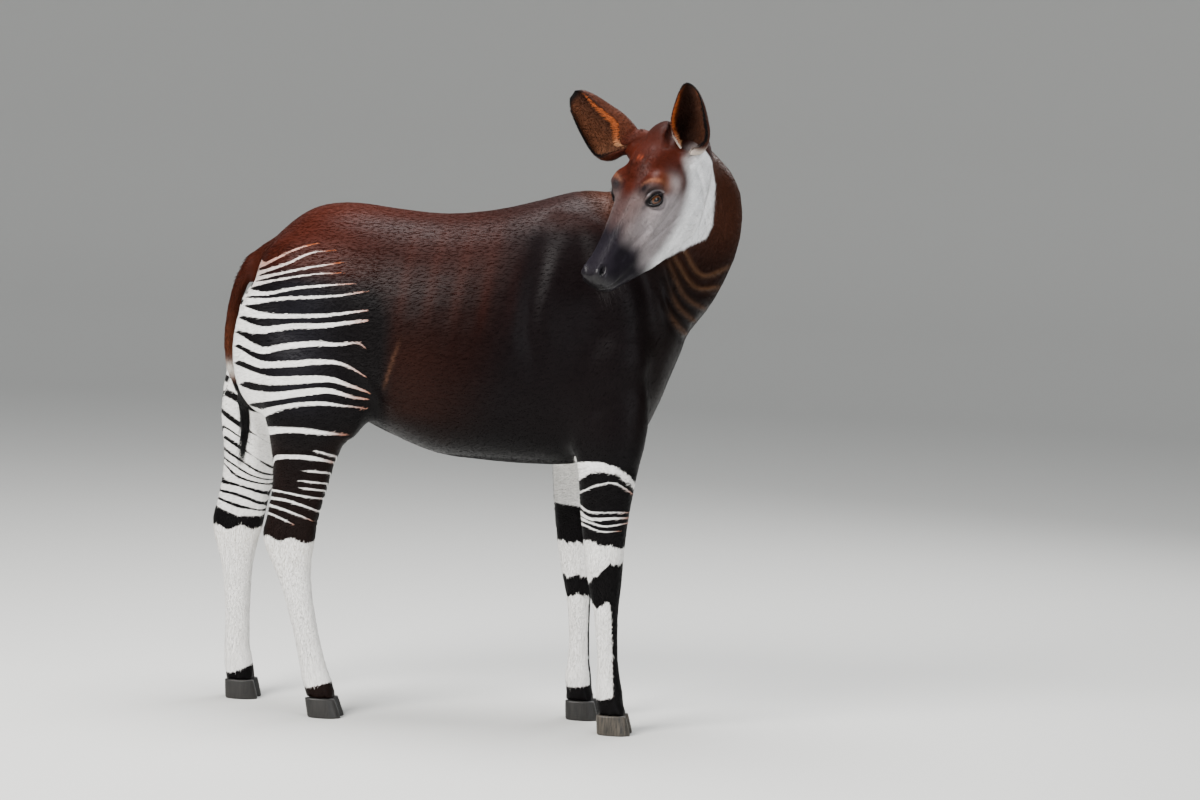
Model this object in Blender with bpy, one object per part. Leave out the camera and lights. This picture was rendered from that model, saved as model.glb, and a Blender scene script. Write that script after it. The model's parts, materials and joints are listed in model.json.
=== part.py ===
"""Okapi, life size, standing square on four feet with its head turned back over its right shoulder.

Metres, +Z up, +X towards the chest, +Y towards the animal's left. The origin lies on the floor at the
middle of the animal's bounding box. The flesh is one closed body that thin cuts part into torso, neck,
head, tail and legs. Eyes, ear cups, hooves and the tail tuft are bodies of their own.
"""
import math

import bmesh
import bpy
import numpy as np
from mathutils import Matrix, Vector

# driving sizes
GAP = 0.0003
VOXEL = 0.0058
BODY_TRIANGLES = 9400
FINE_FACTOR = 0.00002
CENTRE = (0.0164, -0.0709)
EYE_R = 0.0215
LID = 0.0034
EAR_ROOT_R = 0.042
EAR_WALL = 0.0075
HOOF_TOP = 0.054
HOOF_CLEFT = 0.007
HOOF_HALF = 0.048

# the head's own frame: S runs from poll to muzzle, L to its left, U out of the forehead
HEAD_ORIGIN = Vector((0.580, -0.195, 1.667))
HEAD_S = Vector((-0.402, -0.444, -0.802)).normalized()
HEAD_L = Vector((0.795, -0.600, -0.070))
HEAD_L = (HEAD_L - HEAD_S * HEAD_L.dot(HEAD_S)).normalized()
HEAD_U = HEAD_S.cross(HEAD_L).normalized()

# torso sections: x, top, bottom, half width, height of the widest line
TORSO = (
    (-0.590, 1.200, 1.04, 0.060, 1.12),
    (-0.555, 1.290, 0.92, 0.125, 1.13),
    (-0.50, 1.355, 0.86, 0.180, 1.13),
    (-0.42, 1.408, 0.87, 0.222, 1.12),
    (-0.32, 1.422, 0.84, 0.242, 1.10),
    (-0.20, 1.410, 0.785, 0.262, 1.06),
    (-0.06, 1.402, 0.735, 0.280, 1.02),
    (0.08, 1.420, 0.722, 0.280, 1.01),
    (0.20, 1.452, 0.718, 0.258, 1.02),
    (0.31, 1.483, 0.722, 0.222, 1.04),
    (0.41, 1.475, 0.745, 0.190, 1.06),
    (0.50, 1.440, 0.800, 0.158, 1.08),
    (0.562, 1.390, 0.930, 0.122, 1.12),
    (0.612, 1.320, 1.060, 0.080, 1.17),
)

# neck sections: centre, depth along the throat line, half width
NECK = (
    ((0.400, 0.000, 1.200), 0.235, 0.165),
    ((0.504, 0.004, 1.300), 0.224, 0.137),
    ((0.593, 0.008, 1.393), 0.178, 0.110),
    ((0.630, -0.006, 1.468), 0.131, 0.096),
    ((0.617, -0.052, 1.524), 0.099, 0.088),
    ((0.600, -0.114, 1.558), 0.086, 0.084),
    ((0.578, -0.178, 1.576), 0.086, 0.078),
)

# head sections: distance from the poll, half width, top, bottom
HEAD = (
    (-0.034, 0.050, -0.034, -0.115),
    (0.000, 0.074, 0.004, -0.155),
    (0.050, 0.086, 0.038, -0.192),
    (0.110, 0.089, 0.044, -0.222),
    (0.170, 0.089, 0.037, -0.237),
    (0.230, 0.080, 0.027, -0.230),
    (0.290, 0.067, 0.016, -0.209),
    (0.350, 0.056, 0.005, -0.180),
    (0.410, 0.049, -0.002, -0.145),
    (0.455, 0.047, -0.004, -0.116),
    (0.482, 0.043, -0.012, -0.096),
    (0.502, 0.030, -0.024, -0.078),
)

# leg sections shared by a pair: height, half length fore and aft, half width
FORE = (
    (1.080, 0.060, 0.030), (1.000, 0.105, 0.060), (0.900, 0.116, 0.072), (0.800, 0.104, 0.070), (0.740, 0.088, 0.064), (0.670, 0.077, 0.057),
    (0.600, 0.068, 0.051), (0.500, 0.057, 0.045), (0.440, 0.051, 0.044), (0.390, 0.045, 0.043),
    (0.335, 0.036, 0.035), (0.230, 0.031, 0.028), (0.160, 0.034, 0.030), (0.110, 0.040, 0.036),
    (0.080, 0.037, 0.037), (0.050, 0.044, 0.043), (0.036, 0.046, 0.044),
)
HIND = (
    (1.180, 0.070, 0.035), (1.080, 0.140, 0.075), (0.970, 0.160, 0.094), (0.870, 0.140, 0.090), (0.790, 0.116, 0.078), (0.715, 0.092, 0.062),
    (0.640, 0.079, 0.053), (0.560, 0.074, 0.047), (0.495, 0.076, 0.044), (0.440, 0.062, 0.042),
    (0.370, 0.046, 0.038), (0.290, 0.039, 0.034), (0.220, 0.037, 0.032), (0.140, 0.039, 0.034),
    (0.092, 0.043, 0.039), (0.065, 0.041, 0.040), (0.050, 0.045, 0.043), (0.036, 0.046, 0.044),
)

# leg lines: height, x, y, from the trunk down to the sole
LEGS = {
    "fore_right": (FORE, ((1.08, 0.425, -0.095), (0.98, 0.428, -0.122), (0.88, 0.430, -0.138), (0.74, 0.433, -0.145), (0.60, 0.428, -0.135),
                          (0.50, 0.429, -0.128), (0.39, 0.436, -0.122), (0.23, 0.448, -0.116),
                          (0.11, 0.457, -0.112), (0.05, 0.468, -0.112), (0.0, 0.478, -0.112))),
    "fore_left": (FORE, ((1.08, 0.400, 0.095), (0.98, 0.380, 0.122), (0.88, 0.350, 0.138), (0.74, 0.322, 0.142), (0.60, 0.318, 0.130),
                         (0.50, 0.319, 0.123), (0.39, 0.331, 0.116), (0.23, 0.341, 0.110),
                         (0.11, 0.343, 0.106), (0.05, 0.352, 0.106), (0.0, 0.362, 0.106))),
    "hind_right": (HIND, ((1.18, -0.400, -0.105), (1.05, -0.400, -0.135), (0.95, -0.398, -0.148), (0.87, -0.394, -0.153), (0.79, -0.396, -0.156),
                          (0.64, -0.415, -0.148), (0.50, -0.446, -0.138), (0.44, -0.440, -0.135),
                          (0.29, -0.405, -0.128), (0.14, -0.368, -0.122), (0.05, -0.340, -0.120),
                          (0.0, -0.326, -0.120))),
    "hind_left": (HIND, ((1.18, -0.460, 0.105), (1.05, -0.500, 0.135), (0.95, -0.540, 0.146), (0.87, -0.572, 0.148), (0.79, -0.600, 0.148),
                         (0.64, -0.620, 0.138), (0.50, -0.650, 0.130), (0.44, -0.650, 0.128),
                         (0.29, -0.641, 0.122), (0.14, -0.636, 0.116), (0.05, -0.622, 0.114),
                         (0.0, -0.612, 0.114))),
}

# muscles: centre, radii, tilt about Y in degrees, tilt about X; "side" ones are made on both sides
MUSCLES = (
    ((0.390, 0.112, 1.225), (0.115, 0.078, 0.225), -24, 6),
    ((0.415, 0.140, 1.000), (0.120, 0.072, 0.150), 30, 0),
    ((0.330, 0.150, 0.960), (0.100, 0.066, 0.140), 15, 0),
    ((0.492, 0.075, 1.110), (0.115, 0.080, 0.170), 8, 0),
    ((-0.420, 0.108, 1.200), (0.150, 0.100, 0.150), 12, 0),
)
RIGHT_MUSCLES = (
    ((-0.505, -0.112, 1.030), (0.125, 0.090, 0.215), 6, 0),
    ((-0.330, -0.165, 0.960), (0.120, 0.075, 0.200), -16, 0),
)
LEFT_MUSCLES = (
    ((-0.560, 0.112, 1.020), (0.130, 0.090, 0.220), 10, 0),
    ((-0.430, 0.160, 0.960), (0.135, 0.078, 0.200), 4, 0),
)

TAIL = (
    ((-0.530, 0.0, 1.280), 0.042), ((-0.588, 0.0, 1.249), 0.032), ((-0.622, 0.0, 1.203), 0.025),
    ((-0.646, 0.0, 1.142), 0.021), ((-0.660, 0.0, 1.050), 0.0195), ((-0.658, 0.0, 0.960), 0.017),
    ((-0.640, 0.0, 0.905), 0.014), ((-0.624, 0.0, 0.862), 0.012),
)

# material: colour, roughness
COLOURS = {
    "chestnut": ((0.085, 0.022, 0.012), 0.42),
    "dark_leg": ((0.030, 0.014, 0.012), 0.45),
    "white_leg": ((0.62, 0.58, 0.52), 0.65),
    "face": ((0.30, 0.22, 0.18), 0.6),
    "ear": ((0.10, 0.035, 0.018), 0.6),
    "eye": ((0.010, 0.006, 0.005), 0.05),
    "hoof": ((0.045, 0.040, 0.038), 0.5),
    "tuft": ((0.018, 0.014, 0.013), 0.7),
}


def material(name):
    colour, rough = COLOURS[name]
    mat = bpy.data.materials.new(name)
    mat.use_nodes = True
    shader = mat.node_tree.nodes["Principled BSDF"]
    shader.inputs["Base Color"].default_value = (*colour, 1.0)
    shader.inputs["Roughness"].default_value = rough
    shader.inputs["Metallic"].default_value = 0.0
    return mat


def head_point(s, l, u):
    return HEAD_ORIGIN + HEAD_S * s + HEAD_L * l + HEAD_U * u


def spline(points, count):
    """Catmull-Rom curve through rows of numbers, count samples in all."""
    rows = np.array(points, float)
    rows = np.vstack([2 * rows[0] - rows[1], rows, 2 * rows[-1] - rows[-2]])
    out = []
    for t in np.linspace(0, len(points) - 1, count):
        i = min(int(t), len(points) - 2)
        f = t - i
        p0, p1, p2, p3 = rows[i:i + 4]
        out.append(0.5 * (2 * p1 + (p2 - p0) * f + (2 * p0 - 5 * p1 + 4 * p2 - p3) * f * f
                          + (3 * p1 - p0 - 3 * p2 + p3) * f ** 3))
    return np.array(out)


def oval(centre, side, up, half, top, bottom, count=28, power=2.25):
    """Ring of a section whose upper and lower halves may differ."""
    ring = []
    for k in range(count):
        a = 2 * math.pi * k / count
        c, s = math.cos(a), math.sin(a)
        x = half * math.copysign(abs(c) ** (2 / power), c)
        y = (top if s > 0 else bottom) * math.copysign(abs(s) ** (2 / power), s)
        ring.append(Vector(centre) + side * x + up * y)
    return ring


def loft(name, rings):
    """Closed body through rings of equal count."""
    bm = bmesh.new()
    rows = [[bm.verts.new(p) for p in ring] for ring in rings]
    count = len(rows[0])
    for a, b in zip(rows, rows[1:]):
        for k in range(count):
            bm.faces.new((a[k], a[(k + 1) % count], b[(k + 1) % count], b[k]))
    bm.faces.new(list(reversed(rows[0])))
    bm.faces.new(rows[-1])
    return finish_mesh(name, bm)


def finish_mesh(name, bm):
    bmesh.ops.triangulate(bm, faces=[f for f in bm.faces if len(f.verts) > 4])
    bmesh.ops.recalc_face_normals(bm, faces=bm.faces)
    mesh = bpy.data.meshes.new(name)
    bm.to_mesh(mesh)
    bm.free()
    obj = bpy.data.objects.new(name, mesh)
    bpy.context.scene.collection.objects.link(obj)
    return obj


def ball(name, centre, radii, turn=Matrix.Identity(3), segments=24):
    bm = bmesh.new()
    bmesh.ops.create_uvsphere(bm, u_segments=segments, v_segments=segments // 2, radius=1.0)
    place = Matrix.Translation(centre) @ turn.to_4x4() @ Matrix.Diagonal((*radii, 1.0))
    bmesh.ops.transform(bm, matrix=place, verts=bm.verts)
    return finish_mesh(name, bm)


def frame_of(side, up):
    """Rotation whose X is side and whose Z is up."""
    z = up.normalized()
    x = (side - z * side.dot(z)).normalized()
    return Matrix((x, z.cross(x), z)).transposed()


HEAD_TURN = Matrix((HEAD_L, HEAD_U, HEAD_S * -1)).transposed()
if HEAD_TURN.determinant() < 0:
    HEAD_TURN = Matrix((HEAD_L, HEAD_U, HEAD_S)).transposed()


def head_ball(name, s, l, u, rl, ru, rs):
    return ball(name, head_point(s, l, u), (rl, ru, rs), HEAD_TURN)


def torso():
    rings = []
    for x, top, bottom, half, mid in spline(TORSO, 40):
        rings.append(oval((x, 0, mid), Vector((0, 1, 0)), Vector((0, 0, 1)), half, top - mid, mid - bottom,
                          36, 2.15))
    return loft("torso_form", rings)


def neck():
    rows = [(*c, d, w) for c, d, w in NECK]
    line = spline(rows, 18)
    rings = []
    for i, row in enumerate(line):
        ahead = Vector(line[min(i + 1, len(line) - 1)][:3]) - Vector(line[max(i - 1, 0)][:3])
        side = Vector((0, 1, 0)).lerp(HEAD_L * -1 + Vector((0, 1.6, 0)), i / len(line))
        up = ahead.cross(side).normalized()
        side = up.cross(ahead).normalized()
        rings.append(oval(row[:3], side, up, row[4], row[3], row[3], 28, 2.1))
    return loft("neck_form", rings)


def head():
    rings = []
    for s, half, top, bottom in spline(HEAD, 26):
        mid = bottom + 0.58 * (top - bottom)
        rings.append(oval(head_point(s, 0, mid), HEAD_L, HEAD_U, half, top - mid, mid - bottom, 32, 2.35))
    return loft("head_form", rings)


def head_pieces():
    pieces = [head()]
    for m, side in ((-1, "right"), (1, "left")):
        pieces.append(head_ball("cheek", 0.175, m * 0.048, -0.140, 0.042, 0.072, 0.092))
        pieces.append(head_ball("brow", 0.200, m * 0.062, 0.004, 0.030, 0.030, 0.050))
        pieces.append(head_ball("arch", 0.225, m * 0.066, -0.046, 0.022, 0.024, 0.062))
        pieces.append(head_ball("muzzle_side", 0.456, m * 0.022, -0.050, 0.027, 0.040, 0.042))
        pieces.append(head_ball("nose_wing", 0.474, m * 0.026, -0.020, 0.018, 0.016, 0.026))
        pieces.append(ball("ear_root", ear_root(side), (EAR_ROOT_R,) * 3))
        pieces.append(ball("lid_ball", eye_centre(m), (EYE_R + LID,) * 3, segments=24))
    pieces.append(head_ball("crown", 0.060, 0.0, 0.014, 0.056, 0.034, 0.066))
    pieces.append(head_ball("forehead", 0.135, 0.0, 0.018, 0.058, 0.032, 0.080))
    pieces.append(head_ball("chin", 0.450, 0.0, -0.098, 0.026, 0.018, 0.036))
    pieces.append(head_ball("throat", 0.080, 0.0, -0.160, 0.056, 0.056, 0.075))
    return pieces


def eye_centre(m):
    return head_point(0.228, m * 0.0625, -0.016)


def leg(name, sections, line):
    heights = [row[0] for row in line][::-1]
    xs = [row[1] for row in line][::-1]
    ys = [row[2] for row in line][::-1]
    rings = []
    for z, along, across in spline(sections, 34):
        centre = (np.interp(z, heights, xs), np.interp(z, heights, ys), z)
        rings.append(oval(centre, Vector((1, 0, 0)), Vector((0, 1, 0)), along, across, across, 24, 2.2))
    return loft(name, rings)


def muscle(centre, radii, about_y, about_x, m=1):
    turn = Matrix.Rotation(math.radians(about_y), 3, "Y") @ Matrix.Rotation(math.radians(m * about_x), 3, "X")
    return ball("muscle", (centre[0], m * centre[1], centre[2]), radii, turn)


def tail_rings(rows, count, power=2.0):
    line = spline([(*p, r) for p, r in rows], count)
    rings = []
    for i, row in enumerate(line):
        ahead = Vector(line[min(i + 1, count - 1)][:3]) - Vector(line[max(i - 1, 0)][:3])
        side = Vector((0, 1, 0))
        up = side.cross(ahead).normalized()
        rings.append(oval(row[:3], side, up, row[3] * 0.9, row[3], row[3], 16, power))
    return rings


def apply_modifiers(obj):
    graph = bpy.context.evaluated_depsgraph_get()
    mesh = bpy.data.meshes.new_from_object(obj.evaluated_get(graph), depsgraph=graph)
    old = obj.data
    obj.modifiers.clear()
    obj.data = mesh
    bpy.data.meshes.remove(old)


def boolean(obj, tools, operation, solver="EXACT"):
    """Join or cut with a set of closed bodies, which are removed afterwards."""
    group = bpy.data.collections.new("tools")
    bpy.context.scene.collection.children.link(group)
    for tool in tools:
        bpy.context.scene.collection.objects.unlink(tool)
        group.objects.link(tool)
        if operation == "DIFFERENCE":
            tool.display_type = "WIRE"
            tool.hide_render = True
    mod = obj.modifiers.new("join", "BOOLEAN")
    mod.operation = operation
    mod.operand_type = "COLLECTION"
    mod.collection = group
    mod.solver = solver
    apply_modifiers(obj)
    for tool in tools:
        bpy.data.objects.remove(tool)
    bpy.data.collections.remove(group)


def remesh(obj, size):
    mod = obj.modifiers.new("remesh", "REMESH")
    mod.mode = "VOXEL"
    mod.voxel_size = size
    mod.adaptivity = 0.0
    apply_modifiers(obj)


def coordinates(mesh):
    co = np.empty(len(mesh.vertices) * 3)
    mesh.vertices.foreach_get("co", co)
    return co.reshape(-1, 3)


def normals(mesh):
    no = np.empty(len(mesh.vertices) * 3)
    mesh.vertices.foreach_get("normal", no)
    return no.reshape(-1, 3)


def softness(co):
    """How much each place is smoothed: the trunk much, the head, shanks and tail little."""
    head = np.linalg.norm(co - np.array(head_point(0.24, 0, -0.06)), axis=1)
    soft = np.clip((head - 0.24) / 0.12, 0, 1)
    soft *= np.clip((co[:, 2] - 0.62) / 0.22, 0.04, 1)
    soft *= np.where((np.abs(co[:, 1]) < 0.035) & (co[:, 0] < -0.612), 0.05, 1.0)
    return np.clip(soft, 0.04, 1)


def smooth(obj, rounds, amount=0.5, everywhere=False):
    mesh = obj.data
    edges = np.empty(len(mesh.edges) * 2, int)
    mesh.edges.foreach_get("vertices", edges)
    a, b = edges.reshape(-1, 2).T
    co = coordinates(mesh)
    degree = np.bincount(a, minlength=len(co)) + np.bincount(b, minlength=len(co))
    rate = amount if everywhere else amount * softness(co)[:, None]
    for _ in range(rounds):
        total = np.zeros_like(co)
        for axis in range(3):
            total[:, axis] = (np.bincount(a, co[b, axis], len(co)) + np.bincount(b, co[a, axis], len(co)))
        co += rate * (total / degree[:, None] - co)
    mesh.vertices.foreach_set("co", co.ravel())
    mesh.update()


def distance_to_line(co, points):
    """Distance of every vertex to a polyline."""
    best = np.full(len(co), 9.0)
    for p, q in zip(points, points[1:]):
        p, q = np.array(p), np.array(q)
        d = q - p
        t = np.clip(((co - p) @ d) / max(d @ d, 1e-12), 0, 1)
        best = np.minimum(best, np.linalg.norm(co - p - t[:, None] * d, axis=1))
    return best


def carve(obj, points, width, depth, rounds=14):
    """Soft groove (depth above zero) or ridge (below zero) along a line on the surface."""
    co = coordinates(obj.data)
    line = spline([tuple(p) for p in points], rounds)
    reach = 3 * width
    close = ((co > line.min(0) - reach) & (co < line.max(0) + reach)).all(1)
    near = np.exp(-(distance_to_line(co[close], line) / width) ** 2)
    co[close] -= normals(obj.data)[close] * (near * depth)[:, None]
    obj.data.vertices.foreach_set("co", co.ravel())
    obj.data.update()


def shape_surface(body):
    """Grooves and ridges of the living form."""
    for m in (-1, 1):
        head_line = [(0.503, 0.012, -0.070), (0.482, 0.038, -0.076), (0.440, 0.050, -0.084),
                     (0.400, 0.052, -0.094), (0.372, 0.053, -0.104)]
        carve(body, [head_point(s, m * l, u) for s, l, u in head_line], 0.0065, 0.0075)
        nostril = [(0.494, 0.024, -0.030), (0.480, 0.036, -0.020), (0.464, 0.040, -0.010)]
        carve(body, [head_point(s, m * l, u) for s, l, u in nostril], 0.0075, 0.010)
        wing = [(0.502, 0.030, -0.040), (0.486, 0.046, -0.032), (0.470, 0.048, -0.020)]
        carve(body, [head_point(s, m * l, u) for s, l, u in wing], 0.006, -0.003)
        jaw = [(0.205, 0.060, -0.185), (0.260, 0.052, -0.172), (0.330, 0.042, -0.152), (0.400, 0.036, -0.128)]
        carve(body, [head_point(s, m * l, u) for s, l, u in jaw], 0.014, -0.004)
        hollow = [(0.290, 0.062, -0.045), (0.350, 0.056, -0.042), (0.410, 0.050, -0.042)]
        carve(body, [head_point(s, m * l, u) for s, l, u in hollow], 0.020, 0.006)
        arch = [(0.120, 0.087, -0.045), (0.180, 0.088, -0.052), (0.250, 0.078, -0.058), (0.300, 0.064, -0.070)]
        carve(body, [head_point(s, m * l, u) for s, l, u in arch], 0.012, -0.004)
        tear = [(0.262, 0.076, -0.012), (0.285, 0.068, -0.020), (0.310, 0.060, -0.026)]
        carve(body, [head_point(s, m * l, u) for s, l, u in tear], 0.010, 0.005)
        for k in range(6):
            x = -0.02 + 0.055 * k
            carve(body, [(x + 0.05, m * 0.20, 1.27), (x, m * 0.27, 1.08), (x - 0.03, m * 0.27, 0.92)], 0.018, 0.0018)
        carve(body, [(0.255, m * 0.14, 1.40), (0.215, m * 0.24, 1.18), (0.225, m * 0.22, 0.98)], 0.030, 0.010)
        carve(body, [(0.500, m * 0.13, 1.30), (0.545, m * 0.13, 1.10), (0.520, m * 0.11, 0.90)], 0.030, 0.010)
    carve(body, [(0.640, 0.0, 1.20), (0.640, 0.0, 1.08), (0.590, 0.0, 0.96)], 0.026, 0.008)
    carve(body, [(-0.24, -0.215, 0.96), (-0.200, -0.200, 0.86), (-0.235, -0.170, 0.80)], 0.030, 0.012)
    carve(body, [(-0.33, 0.215, 0.96), (-0.280, 0.200, 0.86), (-0.310, 0.170, 0.80)], 0.030, 0.012)
    for k in range(5):
        drop = 0.032 * k
        fold = [(0.560 - 0.3 * drop, -0.175 + 0.2 * drop, 1.425 - 1.2 * drop),
                (0.640 - 0.2 * drop, -0.135 + 0.2 * drop, 1.375 - 1.2 * drop),
                (0.715 - 0.4 * drop, -0.070, 1.400 - 1.2 * drop)]
        carve(body, fold, 0.010, 0.006)


def decimate(obj, target, protected):
    """Thin the triangles to a count, with those near the protected points kept finer."""
    co = coordinates(obj.data)
    weight = np.ones(len(co))
    for centre, radius, keep in protected:
        d = np.linalg.norm(co - np.array(centre), axis=1)
        weight = np.minimum(weight, np.where(d < radius, 1 - keep, 1.0))
    group = obj.vertex_groups.new(name="free")
    for value in np.unique(weight):
        group.add([int(i) for i in np.nonzero(weight == value)[0]], float(value), "REPLACE")
    mod = obj.modifiers.new("thin", "DECIMATE")
    mod.vertex_group = "free"
    mod.vertex_group_factor = FINE_FACTOR
    mod.ratio = target / sum(len(p.vertices) - 2 for p in obj.data.polygons)
    mod.use_collapse_triangulate = True
    apply_modifiers(obj)
    obj.vertex_groups.clear()


def slab(centre, normal, half_a, half_b, thick=GAP):
    z = Vector(normal).normalized()
    side = Vector((0, 1, 0)) if abs(z.y) < 0.8 else Vector((1, 0, 0))
    turn = frame_of(side, z)
    bm = bmesh.new()
    bmesh.ops.create_cube(bm, size=1.0)
    place = Matrix.Translation(centre) @ turn.to_4x4() @ Matrix.Diagonal((2 * half_a, 2 * half_b, thick, 1.0))
    bmesh.ops.transform(bm, matrix=place, verts=bm.verts)
    return finish_mesh("slab", bm)


def leg_point(name, z):
    rows = LEGS[name][1][::-1]
    heights = [r[0] for r in rows]
    return Vector((np.interp(z, heights, [r[1] for r in rows]), np.interp(z, heights, [r[2] for r in rows]), z))


# ear: direction, way it opens, root in the head's frame, length, outward bulge, width beside the shared rows
EARS = {
    "right": (Vector((-0.176, 0.020, 0.140)), Vector((-0.14, -0.88, -0.46)), (0.084, -0.080, -0.004),
              0.208, 0.030, 1.03),
    "left": (Vector((0.019, -0.105, 0.178)), Vector((-0.68, -0.70, -0.14)), (0.064, 0.076, -0.032),
             0.200, -0.007, 0.93),
}


def ear_root(side):
    return head_point(*EARS[side][2])


def ear_frame(side):
    direction, opening = EARS[side][:2]
    axis = direction.normalized()
    face = (opening - axis * opening.dot(axis)).normalized()
    return ear_root(side) + axis * 0.026, axis, face, axis.cross(face)


def ear(side):
    """Leaf-shaped cup: one body less a smaller one pushed towards the opening."""
    base, axis, face, across = ear_frame(side)
    length, bulge, width = EARS[side][3:]
    outward = across * math.copysign(1, across.dot(ear_root(side) - head_point(EARS[side][2][0], 0, 0)))
    rows = ((0.0, 0.040, 0.030), (0.09, 0.061, 0.036), (0.21, 0.074, 0.040), (0.36, 0.073, 0.039),
            (0.57, 0.060, 0.033), (0.76, 0.043, 0.024), (0.91, 0.025, 0.013), (1.0, 0.011, 0.006))
    outer = []
    inner = []
    for t, half, deep in spline(rows, 15):
        half *= width
        centre = base + axis * (length * t) + face * (0.020 * t * t)
        centre += outward * (bulge * max(math.sin(math.pi * t ** 0.5), 0.0))
        outer.append(oval(centre, across, face, half, deep, deep, 18, 2.0))
        if 0.09 < t < 0.97:
            grow = min(1.0, (t - 0.09) / 0.12)
            wall = EAR_WALL * (1.0 - 0.35 * t)
            inner.append(oval(centre + face * (wall + 0.018 * (1 - grow)), across, face,
                              max(half - 0.55 * wall - 0.014 * (1 - grow), 0.002), deep + 0.003,
                              max(deep - 0.012 * (1 - grow), 0.002), 18, 2.0))
    cup = loft("ear_" + side, outer)
    boolean(cup, [loft("cup_cut", inner)], "DIFFERENCE")
    return cup


def lids(body):
    """Open the lids in a long almond and seat the eyeball."""
    tools = []
    for m in (-1, 1):
        centre = eye_centre(m)
        out = (HEAD_L * m * 0.86 + HEAD_U * 0.32 + HEAD_S * 0.18).normalized()
        along = (HEAD_S - out * HEAD_S.dot(out) + HEAD_U * -0.10).normalized()
        up = out.cross(along).normalized()
        if up.dot(HEAD_U) < 0:
            up = -up
        tools.append(ball("socket", centre, (EYE_R + GAP,) * 3, segments=20))
        rings = []
        for depth in (0.006, 0.060):
            ring = []
            for k in range(20):
                a = 2 * math.pi * k / 20
                c, s = math.cos(a), math.sin(a)
                high = 0.0140 if s > 0 else 0.0115
                ring.append(centre + out * depth + along * (0.0215 * c) + up * (high * s * (1 - 0.25 * c * c)))
            rings.append(ring)
        tools.append(loft("almond", rings))
    boolean(body, tools, "DIFFERENCE")


def hooves(name):
    """Two claws side by side with flat soles and a cleft between them."""
    top = leg_point(name, HOOF_TOP)
    foot = leg_point(name, 0.0)
    length = HOOF_HALF
    made = []
    for m, label in ((-1, "a"), (1, "b")):
        rings = []
        for f in np.linspace(0, 1, 5):
            z = (HOOF_TOP - GAP) * (1 - f)
            centre = top.lerp(foot, f)
            half = 0.0430 + (length - 0.0430) * f ** 0.8
            wide = 0.0205 + 0.0035 * f
            ring = []
            for k in range(18):
                a = 2 * math.pi * k / 18
                c, s = math.cos(a), math.sin(a)
                x = half * math.copysign(abs(c) ** 0.9, c)
                point = 1 - 0.38 * max(0.0, c) ** 3 * f
                y = wide * math.copysign(abs(s) ** 0.8, s) * point
                inward = -m * 0.006 * max(0.0, c) ** 2 * f
                ring.append(Vector((centre.x + x, centre.y + m * (wide + HOOF_CLEFT / 2) + y + inward * 0.5, z)))
            rings.append(ring)
        made.append(loft("hoof_%s_%s" % (name, label), rings))
    return made


def tuft():
    """Tassel of the tail: flat tapered locks with their roots sunk in a core."""
    core = loft("tail_tuft", tail_rings((((-0.6215, 0.0, 0.852), 0.012), ((-0.612, 0.0, 0.820), 0.014),
                                         ((-0.607, 0.0, 0.780), 0.013), ((-0.610, 0.0, 0.735), 0.009),
                                         ((-0.617, 0.0, 0.700), 0.005)), 10))
    locks = []
    for k in range(7):
        a = 2 * math.pi * k / 7
        out = Vector((math.cos(a), math.sin(a), 0))
        long = 0.150 + 0.030 * math.sin(2.3 * k)
        rings = []
        for f in np.linspace(0, 1, 5):
            z = 0.838 - long * f
            mid = Vector((-0.613 - 0.012 * f, 0.0, z)) + out * (0.008 + 0.006 * math.sin(math.pi * f))
            size = 0.0075 * (1 - f) ** 0.7 + 0.0008
            side = out.cross(Vector((0, 0, 1)))
            rings.append(oval(mid, side, out, size, size * 0.45, size * 0.45, 6, 2.0))
        locks.append(loft("lock", rings))
    boolean(core, locks, "UNION")
    return core


def keep_largest(obj):
    bm = bmesh.new()
    bm.from_mesh(obj.data)
    left = set(bm.verts)
    parts = []
    while left:
        seed = left.pop()
        island = {seed}
        queue = [seed]
        while queue:
            for edge in queue.pop().link_edges:
                for v in edge.verts:
                    if v not in island:
                        island.add(v)
                        queue.append(v)
        left -= island
        parts.append(island)
    parts.sort(key=len)
    drop = [v for part in parts[:-1] for v in part]
    bmesh.ops.delete(bm, geom=drop, context="VERTS")
    bm.to_mesh(obj.data)
    bm.free()


def split_parts(body, places):
    """Give each loose part of the cut body to the name whose place it holds."""
    mesh = body.data
    co = coordinates(mesh)
    label = np.arange(len(co))
    edges = np.empty(len(mesh.edges) * 2, int)
    mesh.edges.foreach_get("vertices", edges)
    a, b = edges.reshape(-1, 2).T
    while True:
        low = np.minimum(label[a], label[b])
        new = label.copy()
        np.minimum.at(new, a, low)
        np.minimum.at(new, b, low)
        new = new[new]
        if (new == label).all():
            break
        label = new
    kinds = [k for k in np.unique(label) if (label == k).sum() > 60]
    made = []
    for name, place in places.items():
        kind = min(kinds, key=lambda k: np.linalg.norm(co[label == k] - np.array(place), axis=1).min())
        kinds.remove(kind)
        bm = bmesh.new()
        bm.from_mesh(mesh)
        bm.verts.ensure_lookup_table()
        bmesh.ops.delete(bm, geom=[bm.verts[int(i)] for i in np.nonzero(label != kind)[0]], context="VERTS")
        made.append(finish_mesh(name, bm))
    bpy.data.objects.remove(body)
    return made


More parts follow.
